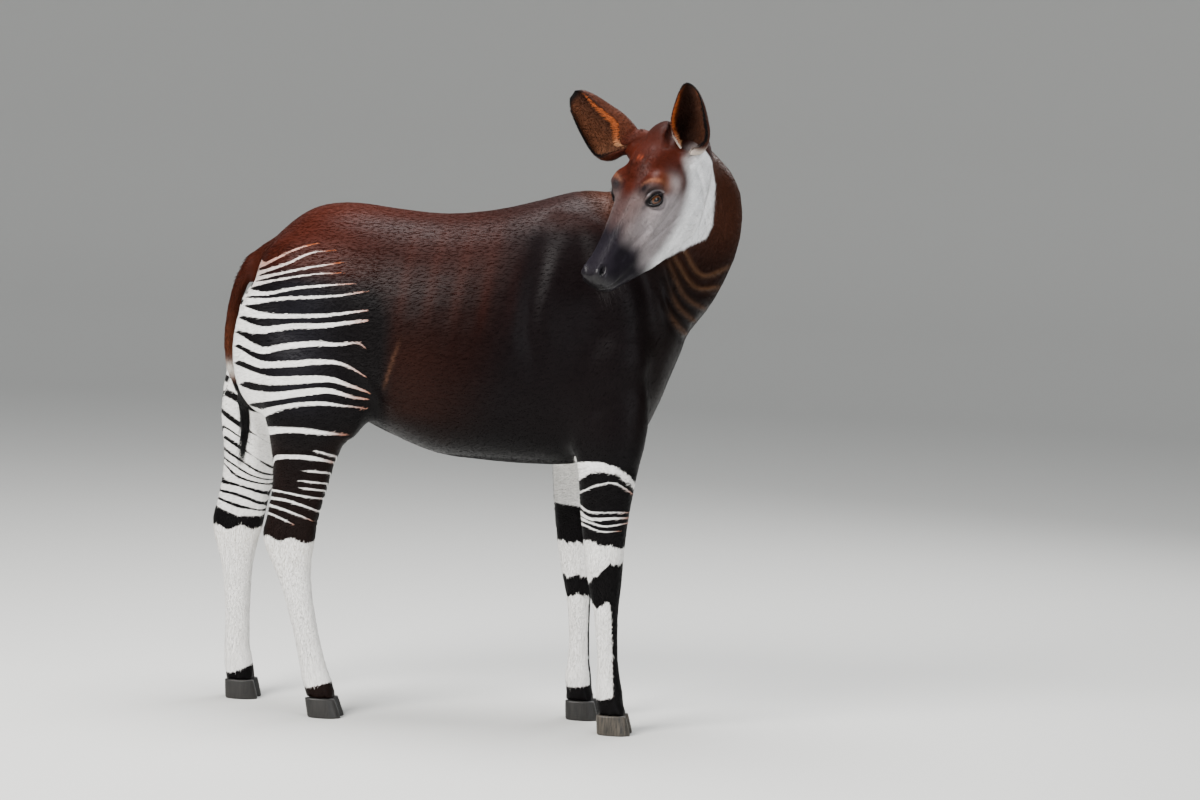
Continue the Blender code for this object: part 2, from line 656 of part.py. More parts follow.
def build():
    for obj in list(bpy.data.objects):
        bpy.data.objects.remove(obj)
    pieces = head_pieces() + [neck()]
    for name, (sections, line) in LEGS.items():
        pieces.append(leg("leg_" + name, sections, line))
    for m in (-1, 1):
        pieces += [muscle(*row, m) for row in MUSCLES]
    pieces += [muscle(*row) for row in RIGHT_MUSCLES + LEFT_MUSCLES]
    pieces.append(loft("tail_form", tail_rings(TAIL, 22)))
    body = torso()
    boolean(body, pieces, "UNION")
    remesh(body, VOXEL)
    smooth(body, 3, everywhere=True)
    smooth(body, 60)
    shape_surface(body)
    smooth(body, 2, 0.4, everywhere=True)
    decimate(body, BODY_TRIANGLES, [(head_point(0.25, 0, -0.05), 0.34, 0.5),
                                    (eye_centre(-1), 0.045, 0.8), (eye_centre(1), 0.045, 0.8),
                                    (head_point(0.46, 0, -0.06), 0.075, 0.75)])
    lids(body)
    cuts = []
    for side in ("right", "left"):
        base, axis, face, across = ear_frame(side)
        cuts.append(slab(base + axis * (0.030 - GAP), axis, 0.075, 0.070, 0.060))
    cuts.append(slab((0.600, -0.140, 1.520), (-0.20, -0.97, 0.10), 0.17, 0.19))
    cuts.append(slab((0.505, 0.0, 1.330), (0.62, 0.0, 0.78), 0.26, 0.36))
    cuts.append(slab((-0.637, 0.0, 1.168), (0.30, 0.0, 0.95), 0.045, 0.034))
    for name in LEGS:
        fore = name.startswith("fore")
        for z, half in ((0.720, 0.13), (0.405 if fore else 0.470, 0.12)):
            p = leg_point(name, z)
            side_limit = abs(p.y) - 0.004
            cuts.append(slab(p, (0, 0, 1), side_limit, half))
        foot = leg_point(name, 0.03)
        cuts.append(slab(Vector((foot.x, foot.y, HOOF_TOP - 0.03)), (0, 0, 1), 0.09, 0.09, 0.06))
    boolean(body, cuts, "DIFFERENCE")
    places = {"torso": (0.0, 0.0, 1.40), "neck": (0.60, -0.03, 1.45), "head": head_point(0.30, 0, 0.0),
              "tail": (-0.66, 0.0, 1.05)}
    for name in LEGS:
        fore = name.startswith("fore")
        places["leg_%s_upper" % name] = leg_point(name, 0.56)
        places["leg_%s_lower" % name] = leg_point(name, 0.20)
    return split_parts(body, places)


def main():
    parts = build()
    parts += [ear("right"), ear("left"), tuft()]
    for m, side in ((-1, "right"), (1, "left")):
        parts.append(ball("eye_" + side, eye_centre(m), (EYE_R,) * 3, segments=20))
    for name in LEGS:
        parts += hooves(name)
    paint = {"torso": "chestnut", "neck": "chestnut", "head": "face", "tail": "chestnut", "ear": "ear",
             "eye": "eye", "hoof": "hoof", "tuft": "tuft", "upper": "dark_leg", "lower": "white_leg"}
    mats = {name: material(name) for name in COLOURS}
    for obj in parts:
        key = obj.name.split("_")[0] if not obj.name.startswith("leg") else obj.name.split("_")[-1]
        if obj.name == "tail_tuft":
            key = "tuft"
        keep_largest(obj)
        obj.data.transform(Matrix.Translation((-CENTRE[0], -CENTRE[1], 0)))
        obj.data.materials.clear()
        obj.data.materials.append(mats[paint[key]])
        for poly in obj.data.polygons:
            poly.use_smooth = not obj.name.startswith("hoof")


if __name__ == "__main__":
    main()
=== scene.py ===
"""Okapi in its coat, life size, looking back over its right shoulder.

One skin covers the flesh of the solid model, and short tufts lie over it in the way the hair grows.
Lengths are metres. The animal's own axes have +X towards the chest, +Y towards its left and +Z up.
"""

import json
import math

import bmesh
import bpy
import numpy as np
from mathutils import Matrix, Vector, noise

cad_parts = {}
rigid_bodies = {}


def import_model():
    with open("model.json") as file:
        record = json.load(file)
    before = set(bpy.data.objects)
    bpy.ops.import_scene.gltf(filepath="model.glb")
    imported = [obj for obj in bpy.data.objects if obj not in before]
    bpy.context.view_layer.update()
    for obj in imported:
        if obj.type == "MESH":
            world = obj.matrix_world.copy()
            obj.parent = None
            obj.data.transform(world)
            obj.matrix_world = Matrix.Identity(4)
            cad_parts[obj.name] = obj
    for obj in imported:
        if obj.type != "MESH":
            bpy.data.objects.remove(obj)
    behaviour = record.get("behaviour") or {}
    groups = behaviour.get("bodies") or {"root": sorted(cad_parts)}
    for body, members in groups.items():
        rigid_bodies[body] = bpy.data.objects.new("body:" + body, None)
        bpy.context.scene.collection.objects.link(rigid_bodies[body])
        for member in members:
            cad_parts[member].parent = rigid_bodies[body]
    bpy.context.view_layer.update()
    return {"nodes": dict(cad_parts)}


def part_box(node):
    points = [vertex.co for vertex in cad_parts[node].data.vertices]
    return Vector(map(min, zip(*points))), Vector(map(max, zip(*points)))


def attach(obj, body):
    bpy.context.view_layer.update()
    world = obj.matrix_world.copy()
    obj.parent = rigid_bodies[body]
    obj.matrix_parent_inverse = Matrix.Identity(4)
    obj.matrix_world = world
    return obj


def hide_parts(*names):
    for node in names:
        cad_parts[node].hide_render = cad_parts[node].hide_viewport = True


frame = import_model()

bl_info = {
    "name": "Okapi coat",
    "version": (1, 0, 0),
    "blender": (4, 5, 0),
    "location": "3D View > Sidebar > Okapi",
    "description": "Dresses the solid okapi in skin, coat, eyes and horn",
    "category": "Object",
}

# the middle of the model's box, in the animal's own axes
CENTRE = np.array((0.0164, -0.0709, 0.0))

# the head's own frame: S from poll to muzzle, L to its left, U out of the forehead
HEAD_ORIGIN = np.array((0.580, -0.195, 1.667))
HEAD_S = np.array((-0.402, -0.444, -0.802)) / np.linalg.norm((-0.402, -0.444, -0.802))
HEAD_L = np.array((0.795, -0.600, -0.070))
HEAD_L = HEAD_L - HEAD_S * (HEAD_L @ HEAD_S)
HEAD_L = HEAD_L / np.linalg.norm(HEAD_L)
HEAD_U = np.cross(HEAD_S, HEAD_L)

# the slit between the lids: half its length, and its height above and below the middle
SLIT_LONG = 0.0208
SLIT_UP = 0.0132
SLIT_LOW = 0.0112

# distance from the eye's middle within which the skin is finer and the lids leave room
EYE_REACH = 0.045

# line of the nostril in the head's frame, for the left side
NOSTRIL = ((0.484, 0.024, -0.030), (0.472, 0.034, -0.020), (0.456, 0.038, -0.012))

# line of the mouth, likewise
MOUTH = ((0.503, 0.012, -0.066), (0.440, 0.050, -0.082), (0.380, 0.053, -0.100))

# furrows (depth above zero) and ridges on the left of the face, in the head's frame: line, width, depth
FURROWS = (
    (((0.503, 0.010, -0.066), (0.484, 0.036, -0.074), (0.440, 0.050, -0.083), (0.400, 0.053, -0.094),
      (0.376, 0.055, -0.104)), 0.0036, 0.0110),
    (((0.486, 0.034, -0.086), (0.450, 0.048, -0.096), (0.410, 0.051, -0.108)), 0.0070, -0.0030),
    (((0.492, 0.034, -0.062), (0.450, 0.050, -0.070), (0.405, 0.054, -0.082)), 0.0070, -0.0020),
    (NOSTRIL, 0.0050, 0.0105),
    (((0.494, 0.030, -0.040), (0.478, 0.045, -0.032), (0.458, 0.047, -0.021)), 0.0055, -0.0028),
    (((0.484, 0.014, -0.018), (0.466, 0.024, -0.008), (0.448, 0.030, -0.004)), 0.0055, -0.0018),
    (((0.300, 0.062, -0.060), (0.350, 0.057, -0.052), (0.405, 0.051, -0.045)), 0.0130, 0.0030),
    (((0.380, 0.050, -0.060), (0.405, 0.050, -0.074), (0.425, 0.050, -0.070)), 0.0080, 0.0020),
    (((0.265, 0.075, -0.012), (0.290, 0.067, -0.020), (0.325, 0.058, -0.030)), 0.0060, 0.0022),
    (((0.150, 0.080, -0.165), (0.205, 0.066, -0.200), (0.280, 0.050, -0.186), (0.360, 0.040, -0.158)),
     0.0100, -0.0030),
    (((0.075, 0.092, -0.060), (0.090, 0.088, -0.120), (0.118, 0.074, -0.190), (0.160, 0.050, -0.240)),
     0.0110, 0.0055),
    (((0.215, 0.082, -0.110), (0.265, 0.072, -0.100), (0.320, 0.060, -0.085)), 0.0060, 0.0014),
    (((0.165, 0.086, -0.055), (0.215, 0.083, -0.062), (0.270, 0.074, -0.062)), 0.0080, -0.0020),
)

# farther than any two places on the animal
FAR = 9.0

# white bands: least distance between two of them, room beyond the first and last, and the width for no band
BAND_GAP = 0.0045
BAND_MARGIN = 0.034
NO_BAND = -0.2

# depth at which a white patch counts as full
PATCH_EDGE = 0.05

# height of a claw, and the rows of its mesh
HOOF_HEIGHT = 0.0530
HOOF_RINGS = 15

# middle of the picture, in the animal's own axes
CAMERA_TARGET = (0.385, 0.0, 0.905)

# leg coats end and trunk coats start at this height
LEG_COAT_TOP = 0.74

# tufts on the tail, hairs in the tassel and on each ear's margin, whiskers, lashes on each eye, and how far
# a tuft turns out of its course
TAIL_TUFTS = 2600
TASSEL_HAIRS = 1500
EAR_FRINGE = 1500
WHISKERS = 64
LASHES = 60
STRAY = 0.14

FEET = ("fore_right", "fore_left", "hind_right", "hind_left")
FLESH = ("torso", "neck", "head", "tail",
         *("leg_%s_%s" % (foot, half) for foot in FEET for half in ("upper", "lower")))

# middle lines of the legs: height, x, y from trunk to sole
LEG_LINES = {
    "fore_right": ((0.88, 0.430, -0.138), (0.74, 0.433, -0.145), (0.60, 0.428, -0.135),
                   (0.50, 0.429, -0.128),
                   (0.39, 0.436, -0.122), (0.23, 0.448, -0.116), (0.11, 0.457, -0.112),
                   (0.0, 0.478, -0.112)),
    "fore_left": ((0.88, 0.350, 0.138), (0.74, 0.322, 0.142), (0.60, 0.318, 0.130), (0.50, 0.319, 0.123),
                  (0.39, 0.331, 0.116), (0.23, 0.341, 0.110), (0.11, 0.343, 0.106), (0.0, 0.362, 0.106)),
    "hind_right": ((1.18, -0.400, -0.105), (1.05, -0.400, -0.135), (0.87, -0.394, -0.153),
                   (0.79, -0.396, -0.156),
                   (0.64, -0.415, -0.148), (0.50, -0.446, -0.138), (0.44, -0.440, -0.135),
                   (0.29, -0.405, -0.128),
                   (0.14, -0.368, -0.122), (0.0, -0.326, -0.120)),
    "hind_left": ((1.18, -0.460, 0.105), (1.05, -0.500, 0.135), (0.87, -0.572, 0.148),
                  (0.79, -0.600, 0.148),
                  (0.64, -0.620, 0.138), (0.50, -0.650, 0.130), (0.44, -0.650, 0.128),
                  (0.29, -0.641, 0.122),
                  (0.14, -0.636, 0.116), (0.0, -0.612, 0.114)),
}

NECK_LINE = ((0.560, -0.230, 1.560), (0.600, -0.114, 1.558), (0.617, -0.052, 1.524), (0.630, -0.006, 1.468),
             (0.593, 0.008, 1.393), (0.504, 0.004, 1.300), (0.360, 0.000, 1.200))

# white bands of the haunch from the rump down: line (x, height), half widths at rear, middle and front
# in millimetres, whether the band runs on round the rear edge, and how orange it is
HAUNCH_BANDS = (
    (((-0.527, 1.245), (-0.440, 1.290), (-0.380, 1.309)), (5.0, 3.2, 2.0), True, 0.75),
    (((-0.543, 1.222), (-0.466, 1.248), (-0.401, 1.281), (-0.332, 1.292)), (5.5, 3.6, 1.6), True, 0.35),
    (((-0.545, 1.206), (-0.471, 1.223), (-0.386, 1.243), (-0.311, 1.258)), (6.5, 3.6, 1.8), True, 0.25),
    (((-0.556, 1.192), (-0.465, 1.210), (-0.385, 1.224), (-0.310, 1.230)), (6.0, 2.6, 1.6), True, 0.20),
    (((-0.572, 1.166), (-0.516, 1.163), (-0.447, 1.180), (-0.364, 1.192), (-0.279, 1.202)), (9.0, 4.2, 2.4),
     True, 0.0),
    (((-0.579, 1.141), (-0.491, 1.154), (-0.383, 1.162), (-0.300, 1.171), (-0.231, 1.185)),
     (11.0, 4.4, 2.4), True, 0.0),
    (((-0.584, 1.119), (-0.531, 1.105), (-0.444, 1.104), (-0.339, 1.112), (-0.276, 1.123), (-0.205, 1.135)),
     (13.0, 5.8, 3.0), True, 0.0),
    (((-0.594, 1.075), (-0.529, 1.067), (-0.444, 1.082), (-0.361, 1.086), (-0.275, 1.099), (-0.204, 1.110)),
     (17.0, 8.0, 5.0), True, 0.0),
    (((-0.595, 1.037), (-0.527, 1.007), (-0.464, 1.021), (-0.378, 1.034), (-0.314, 1.034), (-0.248, 1.040),
      (-0.210, 0.993)), (14.0, 8.0, 3.2), True, 0.0),
    (((-0.591, 0.998), (-0.526, 0.972), (-0.440, 0.976), (-0.357, 0.986), (-0.293, 0.981), (-0.220, 0.943)),
     (16.0, 8.2, 3.6), True, 0.0),
    (((-0.575, 0.944), (-0.502, 0.929), (-0.419, 0.933), (-0.333, 0.938), (-0.269, 0.922), (-0.218, 0.905)),
     (17.0, 11.0, 5.0), True, 0.0),
    (((-0.553, 0.880), (-0.481, 0.883), (-0.395, 0.899), (-0.332, 0.908), (-0.268, 0.894), (-0.226, 0.891)),
     (18.0, 11.0, 4.6), True, 0.0),
    (((-0.524, 0.835), (-0.480, 0.853), (-0.417, 0.868), (-0.353, 0.874), (-0.289, 0.871), (-0.228, 0.866)),
     (12.0, 5.6, 3.2), True, 0.0),
    (((-0.503, 0.784), (-0.428, 0.793), (-0.286, 0.790)), (16.0, 9.0, 4.6), True, 0.0),
    (((-0.368, 0.741), (-0.300, 0.723)), (1.6, 3.4, 3.6), False, 0.1),
    (((-0.486, 0.694), (-0.475, 0.719), (-0.425, 0.725), (-0.375, 0.724), (-0.305, 0.712)),
     (15.0, 8.2, 4.0), True, 0.0),
    (((-0.391, 0.685), (-0.310, 0.681)), (1.4, 2.8, 3.0), False, 0.1),
    (((-0.409, 0.657), (-0.314, 0.651)), (1.4, 2.8, 3.0), False, 0.1),
    (((-0.403, 0.638), (-0.319, 0.631)), (1.4, 2.8, 3.0), False, 0.1),
    (((-0.492, 0.630), (-0.447, 0.624), (-0.396, 0.616), (-0.321, 0.609)), (4.2, 2.8, 2.4), True, 0.0),
    (((-0.496, 0.605), (-0.446, 0.602), (-0.395, 0.589), (-0.328, 0.565)), (4.4, 3.6, 2.8), True, 0.0),
    (((-0.501, 0.586), (-0.456, 0.577), (-0.406, 0.561), (-0.369, 0.546)), (5.0, 3.4, 2.2), True, 0.0),
    (((-0.506, 0.566), (-0.472, 0.557), (-0.419, 0.535)), (4.4, 3.0, 2.0), True, 0.0),
)

# thin white bands of the forearm under its cuff
FOREARM_BANDS = (
    (((0.353, 0.659), (0.400, 0.684), (0.455, 0.694), (0.511, 0.662)), (3.2, 3.0, 2.8), True, 0.0),
    (((0.354, 0.631), (0.390, 0.609), (0.450, 0.611), (0.502, 0.612)), (4.0, 2.8, 2.6), True, 0.0),
    (((0.357, 0.612), (0.391, 0.592), (0.451, 0.598), (0.500, 0.601)), (8.0, 4.6, 3.0), True, 0.0),
    (((0.364, 0.590), (0.400, 0.580), (0.433, 0.573), (0.501, 0.588)), (5.0, 2.6, 2.0), True, 0.0),
    (((0.358, 0.582), (0.420, 0.561), (0.474, 0.564)), (4.5, 2.4, 1.6), True, 0.0),
)

CUFF_TOP = ((0.338, 0.743), (0.375, 0.748), (0.412, 0.749), (0.470, 0.735), (0.521, 0.692))
CUFF_BOTTOM = ((0.345, 0.684), (0.362, 0.700), (0.385, 0.716), (0.413, 0.722), (0.460, 0.715),
               (0.516, 0.668))
SHIN_TOP = ((0.363, 0.541), (0.416, 0.524), (0.493, 0.516))
KNEE_TOP = ((0.375, 0.395), (0.400, 0.420), (0.425, 0.450), (0.450, 0.468), (0.495, 0.480))
KNEE_BOTTOM = ((0.395, 0.358), (0.420, 0.352), (0.444, 0.362), (0.483, 0.357))

# outline of the pale cheek and throat in the head's side plane (s, u), from the crisp nape edge round
PALE_CHEEK = ((0.066, -0.016), (0.030, -0.040), (0.020, -0.073), (0.021, -0.148), (0.040, -0.201),
              (0.077, -0.247),
              (0.117, -0.284), (0.155, -0.297), (0.190, -0.282), (0.250, -0.262), (0.360, -0.215),
              (0.415, -0.160),
              (0.392, -0.142), (0.304, -0.142), (0.253, -0.132), (0.203, -0.115), (0.165, -0.095),
              (0.126, -0.070),
              (0.102, -0.036), (0.088, -0.020))

# crests of the neck's skin folds (x, height) on its right side
FOLD_CRESTS = (
    ((0.606, 1.337), (0.659, 1.264), (0.734, 1.292)),
    ((0.586, 1.309), (0.641, 1.233), (0.701, 1.231)),
    ((0.570, 1.295), (0.615, 1.208), (0.674, 1.164)),
    ((0.552, 1.288), (0.592, 1.190), (0.648, 1.128)),
    ((0.538, 1.272), (0.572, 1.172), (0.622, 1.096)),
)

# ear: direction, way it opens, root in the head's frame, length, outward bulge, width by the shared rows
EARS = {
    "right": ((-0.176, 0.020, 0.140), (-0.14, -0.88, -0.46), (0.084, -0.080, -0.004), 0.208, 0.030, 1.03),
    "left": ((0.019, -0.105, 0.178), (-0.68, -0.70, -0.14), (0.064, 0.076, -0.032), 0.200, -0.007, 0.93),
}
# ear: narrowing of the sunk root, turn of the outer margin in degrees, start and reach of the sheet
EAR_SHEETS = {"right": (0.12, 26, -0.20, 1.185), "left": (0.55, -4, -0.14, 1.112)}
EAR_ROWS = ((0.0, 0.050, 0.032), (0.09, 0.066, 0.037), (0.21, 0.075, 0.040), (0.36, 0.075, 0.039),
            (0.57, 0.064, 0.033), (0.76, 0.051, 0.025), (0.91, 0.034, 0.015), (1.0, 0.013, 0.006))

# colours of the hair, linear
RUST = (0.033, 0.0052, 0.0021)
CHESTNUT = (0.0165, 0.0029, 0.0014)
FLANK = (0.0068, 0.0014, 0.0009)
SHADOW = (0.0030, 0.0018, 0.0022)
BRISKET = (0.0045, 0.0020, 0.0017)
NECK_BROWN = (0.044, 0.0140, 0.0072)
# painted highlight for the crests of the neck's skin folds, not a colour of the hair
FOLD_CREST_HIGHLIGHT = (0.095, 0.045, 0.022)
WHITE = (0.87, 0.855, 0.83)
CREAM = (0.70, 0.62, 0.50)
ORANGE = (0.36, 0.085, 0.020)
FOREHEAD = (0.046, 0.0072, 0.0030)
BEIGE = (0.118, 0.083, 0.078)
GREY = (0.270, 0.240, 0.245)
CHEEK_WHITE = (0.87, 0.87, 0.88)
MUZZLE = (0.0095, 0.0075, 0.0110)
BLACK = (0.0032, 0.0027, 0.0030)
EAR_BROWN = (0.060, 0.0150, 0.0060)
EAR_INSIDE = (0.085, 0.0290, 0.0130)
TAIL_BROWN = (0.062, 0.0170, 0.0075)
ASH = (0.50, 0.46, 0.42)
HORN = {
    "pale": ("horn_pale", (0.010, 0.0085, 0.0070), (0.085, 0.070, 0.052)),
    "dark": ("horn_dark", (0.0050, 0.0044, 0.0042), (0.020, 0.018, 0.016)),
}


def size_property(name, description, default):
    return bpy.props.FloatProperty(name=name, description=description, default=default, unit="LENGTH")


def count_property(name, description, default):
    return bpy.props.IntProperty(name=name, description=description, default=default, min=100)


class OkapiSkinSettings(bpy.types.PropertyGroup):
    voxel: size_property("Skin mesh", "Edge length of the skin on the trunk", 0.0090)
    depth: size_property("Coat depth", "How far the skin lies inside the solid trunk", 0.0026)
    eye_radius: size_property("Eye radius", "Radius of the eyeball", 0.0215)


class OkapiCoatSettings(bpy.types.PropertyGroup):
    trunk_tufts: count_property("Trunk tufts", "Tufts on each side of trunk and haunch", 33000)
    neck_tufts: count_property("Neck tufts", "Tufts on the neck", 20000)
    head_tufts: count_property("Head tufts", "Tufts on each side of the head", 25000)
    leg_tufts: count_property("Leg tufts", "Tufts on each leg", 17000)
    ear_tufts: count_property("Ear tufts", "Tufts on each ear", 10000)
    trunk_length: size_property("Trunk hair", "Length of the hair on the trunk", 0.018)
    leg_length: size_property("Leg hair", "Length of the hair on the legs", 0.013)
    face_length: size_property("Face hair", "Length of the hair on the face", 0.0085)


class OkapiStageSettings(bpy.types.PropertyGroup):
    distance: size_property("Camera distance", "From the camera to the middle of the view", 10.0)
    height: size_property("Camera height", "Height of the camera over the floor", 1.70)
    azimuth: bpy.props.FloatProperty(name="Camera azimuth",
                                     description="Turn of the camera towards the chest",
                                     default=math.radians(7.0), subtype="ANGLE")
    roll: bpy.props.FloatProperty(name="Camera roll", description="Turn of the camera about its own line",
                                  default=math.radians(2.4), subtype="ANGLE")
    lens: bpy.props.FloatProperty(name="Lens", description="Focal length on a 36 mm wide sensor",
                                  default=108.9)
    floor: bpy.props.FloatVectorProperty(name="Floor", description="Colour of the floor", size=3,
                                         subtype="COLOR",
                                         default=(0.62, 0.62, 0.60))


def head_point(s, l, u):
    return HEAD_ORIGIN + HEAD_S * s + HEAD_L * l + HEAD_U * u


def head_line(line, side=1):
    """A line in the head's frame for its left side, as places on either side."""
    return [head_point(s, side * l, u) for s, l, u in line]


def head_frame(points):
    """Places in the animal's axes to distances along, left of and above the head's line."""
    rel = points - HEAD_ORIGIN
    return rel @ HEAD_S, rel @ HEAD_L, rel @ HEAD_U


def eye_centre(side):
    return head_point(0.228, side * 0.0625, -0.016)


def eye_distance(points, side):
    return np.linalg.norm(points - eye_centre(side), axis=1)


def eye_axes(side):
    """Out of the socket, along the eye towards the muzzle, and up across it."""
    out = HEAD_L * side * 0.86 + HEAD_U * 0.32 + HEAD_S * 0.18
    out = out / np.linalg.norm(out)
    along = HEAD_S * 0.91 - HEAD_L * side * 0.31 + HEAD_U * 0.34
    along = along - out * (along @ out)
    along = along / np.linalg.norm(along)
    up = np.cross(out, along)
    return out, along, up * (1.0 if up @ HEAD_U > 0 else -1.0)


def eye_space(points, side):
    """Places measured along the eye, up across it and out of it."""
    out, along, up = eye_axes(side)
    rel = points - eye_centre(side)
    return rel @ along, rel @ up, rel @ out


def almond(a, b, margin=0.0):
    """Below one inside the slit between the lids, grown by a margin."""
    high = np.where(b > 0, SLIT_UP, SLIT_LOW) + margin
    return (np.abs(a / (SLIT_LONG + margin)) ** 1.7 + np.abs(b / high) ** 2.0) ** 0.5


def step(low, high, value):
    t = np.clip((value - low) / (high - low), 0, 1)
    return t * t * (3 - 2 * t)


def bump(value, centre, reach):
    return np.exp(-((value - centre) / reach) ** 2)


def lerp(a, b, weight):
    return a * (1 - weight) + b * weight


def mix(a, b, weight):
    """Blend of two colours or colour rows, by a weight for each row."""
    return lerp(np.asarray(a), np.asarray(b), np.clip(weight, 0, 1)[:, None])


def overlay(tone, layers):
    """Lay colours over one another, each by its weight."""
    for colour, weight in layers:
        tone = mix(tone, colour, weight)
    return tone


def unit(rows):
    return rows / (np.linalg.norm(rows, axis=1)[:, None] + 1e-12)


def along_line(points, line):
    """Distance to a polyline and its direction at the nearest place, softened between its stretches."""
    best = np.full(len(points), FAR)
    total = np.zeros((len(points), 3))
    for a, b in zip(line, line[1:]):
        a, b = np.array(a), np.array(b)
        d = b - a
        t = np.clip(((points - a) @ d) / (d @ d), 0, 1)
        gap = np.linalg.norm(points - a - t[:, None] * d, axis=1)
        best = np.minimum(best, gap)
        total += (d / np.linalg.norm(d))[None] / (gap[:, None] ** 4 + 1e-6)
    return best, unit(total)


def spline(points, count):
    """Catmull-Rom curve through rows of numbers."""
    rows = np.array(points, float)
    rows = np.vstack([2 * rows[0] - rows[1], rows, 2 * rows[-1] - rows[-2]])
    out = []
    for t in np.linspace(0, len(points) - 1, count):
        i = min(int(t), len(points) - 2)
        f = t - i
        p0, p1, p2, p3 = rows[i:i + 4]
        out.append(0.5 * (2 * p1 + (p2 - p0) * f + (2 * p0 - 5 * p1 + 4 * p2 - p3) * f * f
                          + (3 * p1 - p0 - 3 * p2 + p3) * f ** 3))
    return np.array(out)


def flat_gap(x, y, line):
    """Distance to a line of places in a plane."""
    gap = np.full(len(x), FAR)
    for (ax, ay), (bx, by) in zip(line, line[1:]):
        dx, dy = bx - ax, by - ay
        t = np.clip(((x - ax) * dx + (y - ay) * dy) / (dx * dx + dy * dy), 0, 1)
        gap = np.minimum(gap, np.hypot(x - ax - t * dx, y - ay - t * dy))
    return gap


def polygon_depth(x, y, corners):
    """How deep a place lies inside a flat outline, below zero outside it."""
    ring = np.array((*corners, corners[0]))
    inside = np.zeros(len(x), bool)
    for (ax, ay), (bx, by) in zip(ring, ring[1:]):
        rise = by - ay if abs(by - ay) > 1e-12 else 1e-12
        inside ^= ((ay > y) != (by > y)) & (x < ax + (y - ay) * (bx - ax) / rise)
    gap = flat_gap(x, y, ring)
    return np.where(inside, gap, -gap)


# regions

def regions(points):
    """Soft weights of head, neck, legs and tail; the trunk is the rest."""
    s, l, u = head_frame(points)
    along = np.clip(s, 0.0, 0.5)
    ring = np.hypot(l, u + 0.095 - 0.06 * np.clip(s - 0.2, 0, 0.3))
    over = np.hypot(ring, s - along)
    jaw_side = np.array((-0.20, -0.97, 0.10))
    face = points @ jaw_side - np.array((0.600, -0.140, 1.520)) @ jaw_side
    head = step(0.0, 0.012, face) * step(1.06, 0.98, over / (0.185 - 0.17 * along))
    collar = (points - np.array((0.505, 0.0, 1.330))) @ np.array((0.62, 0.0, 0.78))
    neck = step(-0.03, 0.03, collar) * (1 - head)
    x, y, z = points.T
    tail = step(0.040, 0.030, np.abs(y)) * step(-0.600, -0.612, x) * step(1.20, 1.17, z) * step(0.60, 0.64,
                                                                                                z)
    legs = step(0.86, 0.74, z) * (1 - tail)
    return head, neck, legs, tail


def leg_offsets(points):
    """For each place the leg it belongs to, its place fore and aft and sideways of that leg's middle."""
    x, y, z = points.T
    fore = x > 0.0
    left = y > 0.0
    ahead = np.zeros(len(x))
    aside = np.zeros(len(x))
    shift = np.zeros(len(x))
    for foot, line in LEG_LINES.items():
        rows = np.array(line)[::-1]
        right_rows = np.array(LEG_LINES[foot.split("_")[0] + "_right"])[::-1]
        mask = (fore == foot.startswith("fore")) & (left == foot.endswith("left"))
        middle = np.interp(z[mask], rows[:, 0], rows[:, 1])
        ahead[mask] = x[mask] - middle
        side = 1 if foot.endswith("left") else -1
        aside[mask] = side * (y[mask] - np.interp(z[mask], rows[:, 0], rows[:, 2]))
        shift[mask] = middle - np.interp(z[mask], right_rows[:, 0], right_rows[:, 1])
    return fore, ahead, aside, shift


# markings

def banding(x, z, bands):
    """Running number of the white bands, whole at each band's middle, with half width and orange share."""
    middles, halves, tints = [], [], []
    for line, (rear, middle, front), wraps, orange in bands:
        curve = spline(line, 24)
        height = np.interp(x, curve[:, 0], curve[:, 1])
        start, end = line[0][0], line[-1][0]
        f = (x - start) / (end - start)
        half = np.interp(f, (0.0, 0.22, 0.55, 0.86, 1.0, 1.10),
                         (rear, middle * 1.15, middle, front, front * 0.55, -1.0))
        if wraps:
            half = np.where(f < 0, rear + np.minimum((start - x) * 420, 30.0), half)
        else:
            half = np.where(f < 0.12, front * (f + 0.1) / 0.22, half)
        if middles:
            height = np.minimum(height, middles[-1] - BAND_GAP)
        middles.append(height)
        halves.append(half / 1000)
        tints.append(np.clip(orange + step(0.70, 1.0, f) * 0.85, 0, 1))
    middles, halves, tints = np.array(middles), np.array(halves), np.array(tints)
    gaps = middles[:-1] - middles[1:]
    edge = np.full((1, len(x)), BAND_MARGIN)
    share = halves / (0.5 * (np.vstack([edge, gaps]) + np.vstack([gaps, edge])))
    last = len(bands) - 1
    index = np.clip((middles > z[None]).sum(0) - 1, -1, last)
    rows = np.arange(len(x))
    upper, lower = np.clip(index, 0, last), np.clip(index + 1, 0, last)
    outside = (index < 0) | (index >= last)
    span = np.where(outside, BAND_MARGIN, middles[upper, rows] - middles[lower, rows])
    top = np.where(index < 0, middles[0] + BAND_MARGIN, middles[upper, rows])
    phase = index + np.clip((top - z) / np.maximum(span, 1e-5), 0, 1)
    phase = np.clip(phase, -0.5, last + 0.5)
    f = np.clip(phase - index, 0, 1)
    width = lerp(share[upper, rows], share[lower, rows], f)
    tint = lerp(tints[upper, rows], tints[lower, rows], f)
    return phase, np.clip(width, NO_BAND, 0.8), tint


def line_at(x, line):
    xs, zs = np.array(line).T
    return np.interp(x, xs, zs)


def between(value, low, high):
    """Depth inside a range, below zero outside it."""
    return np.minimum(high - value, value - low)


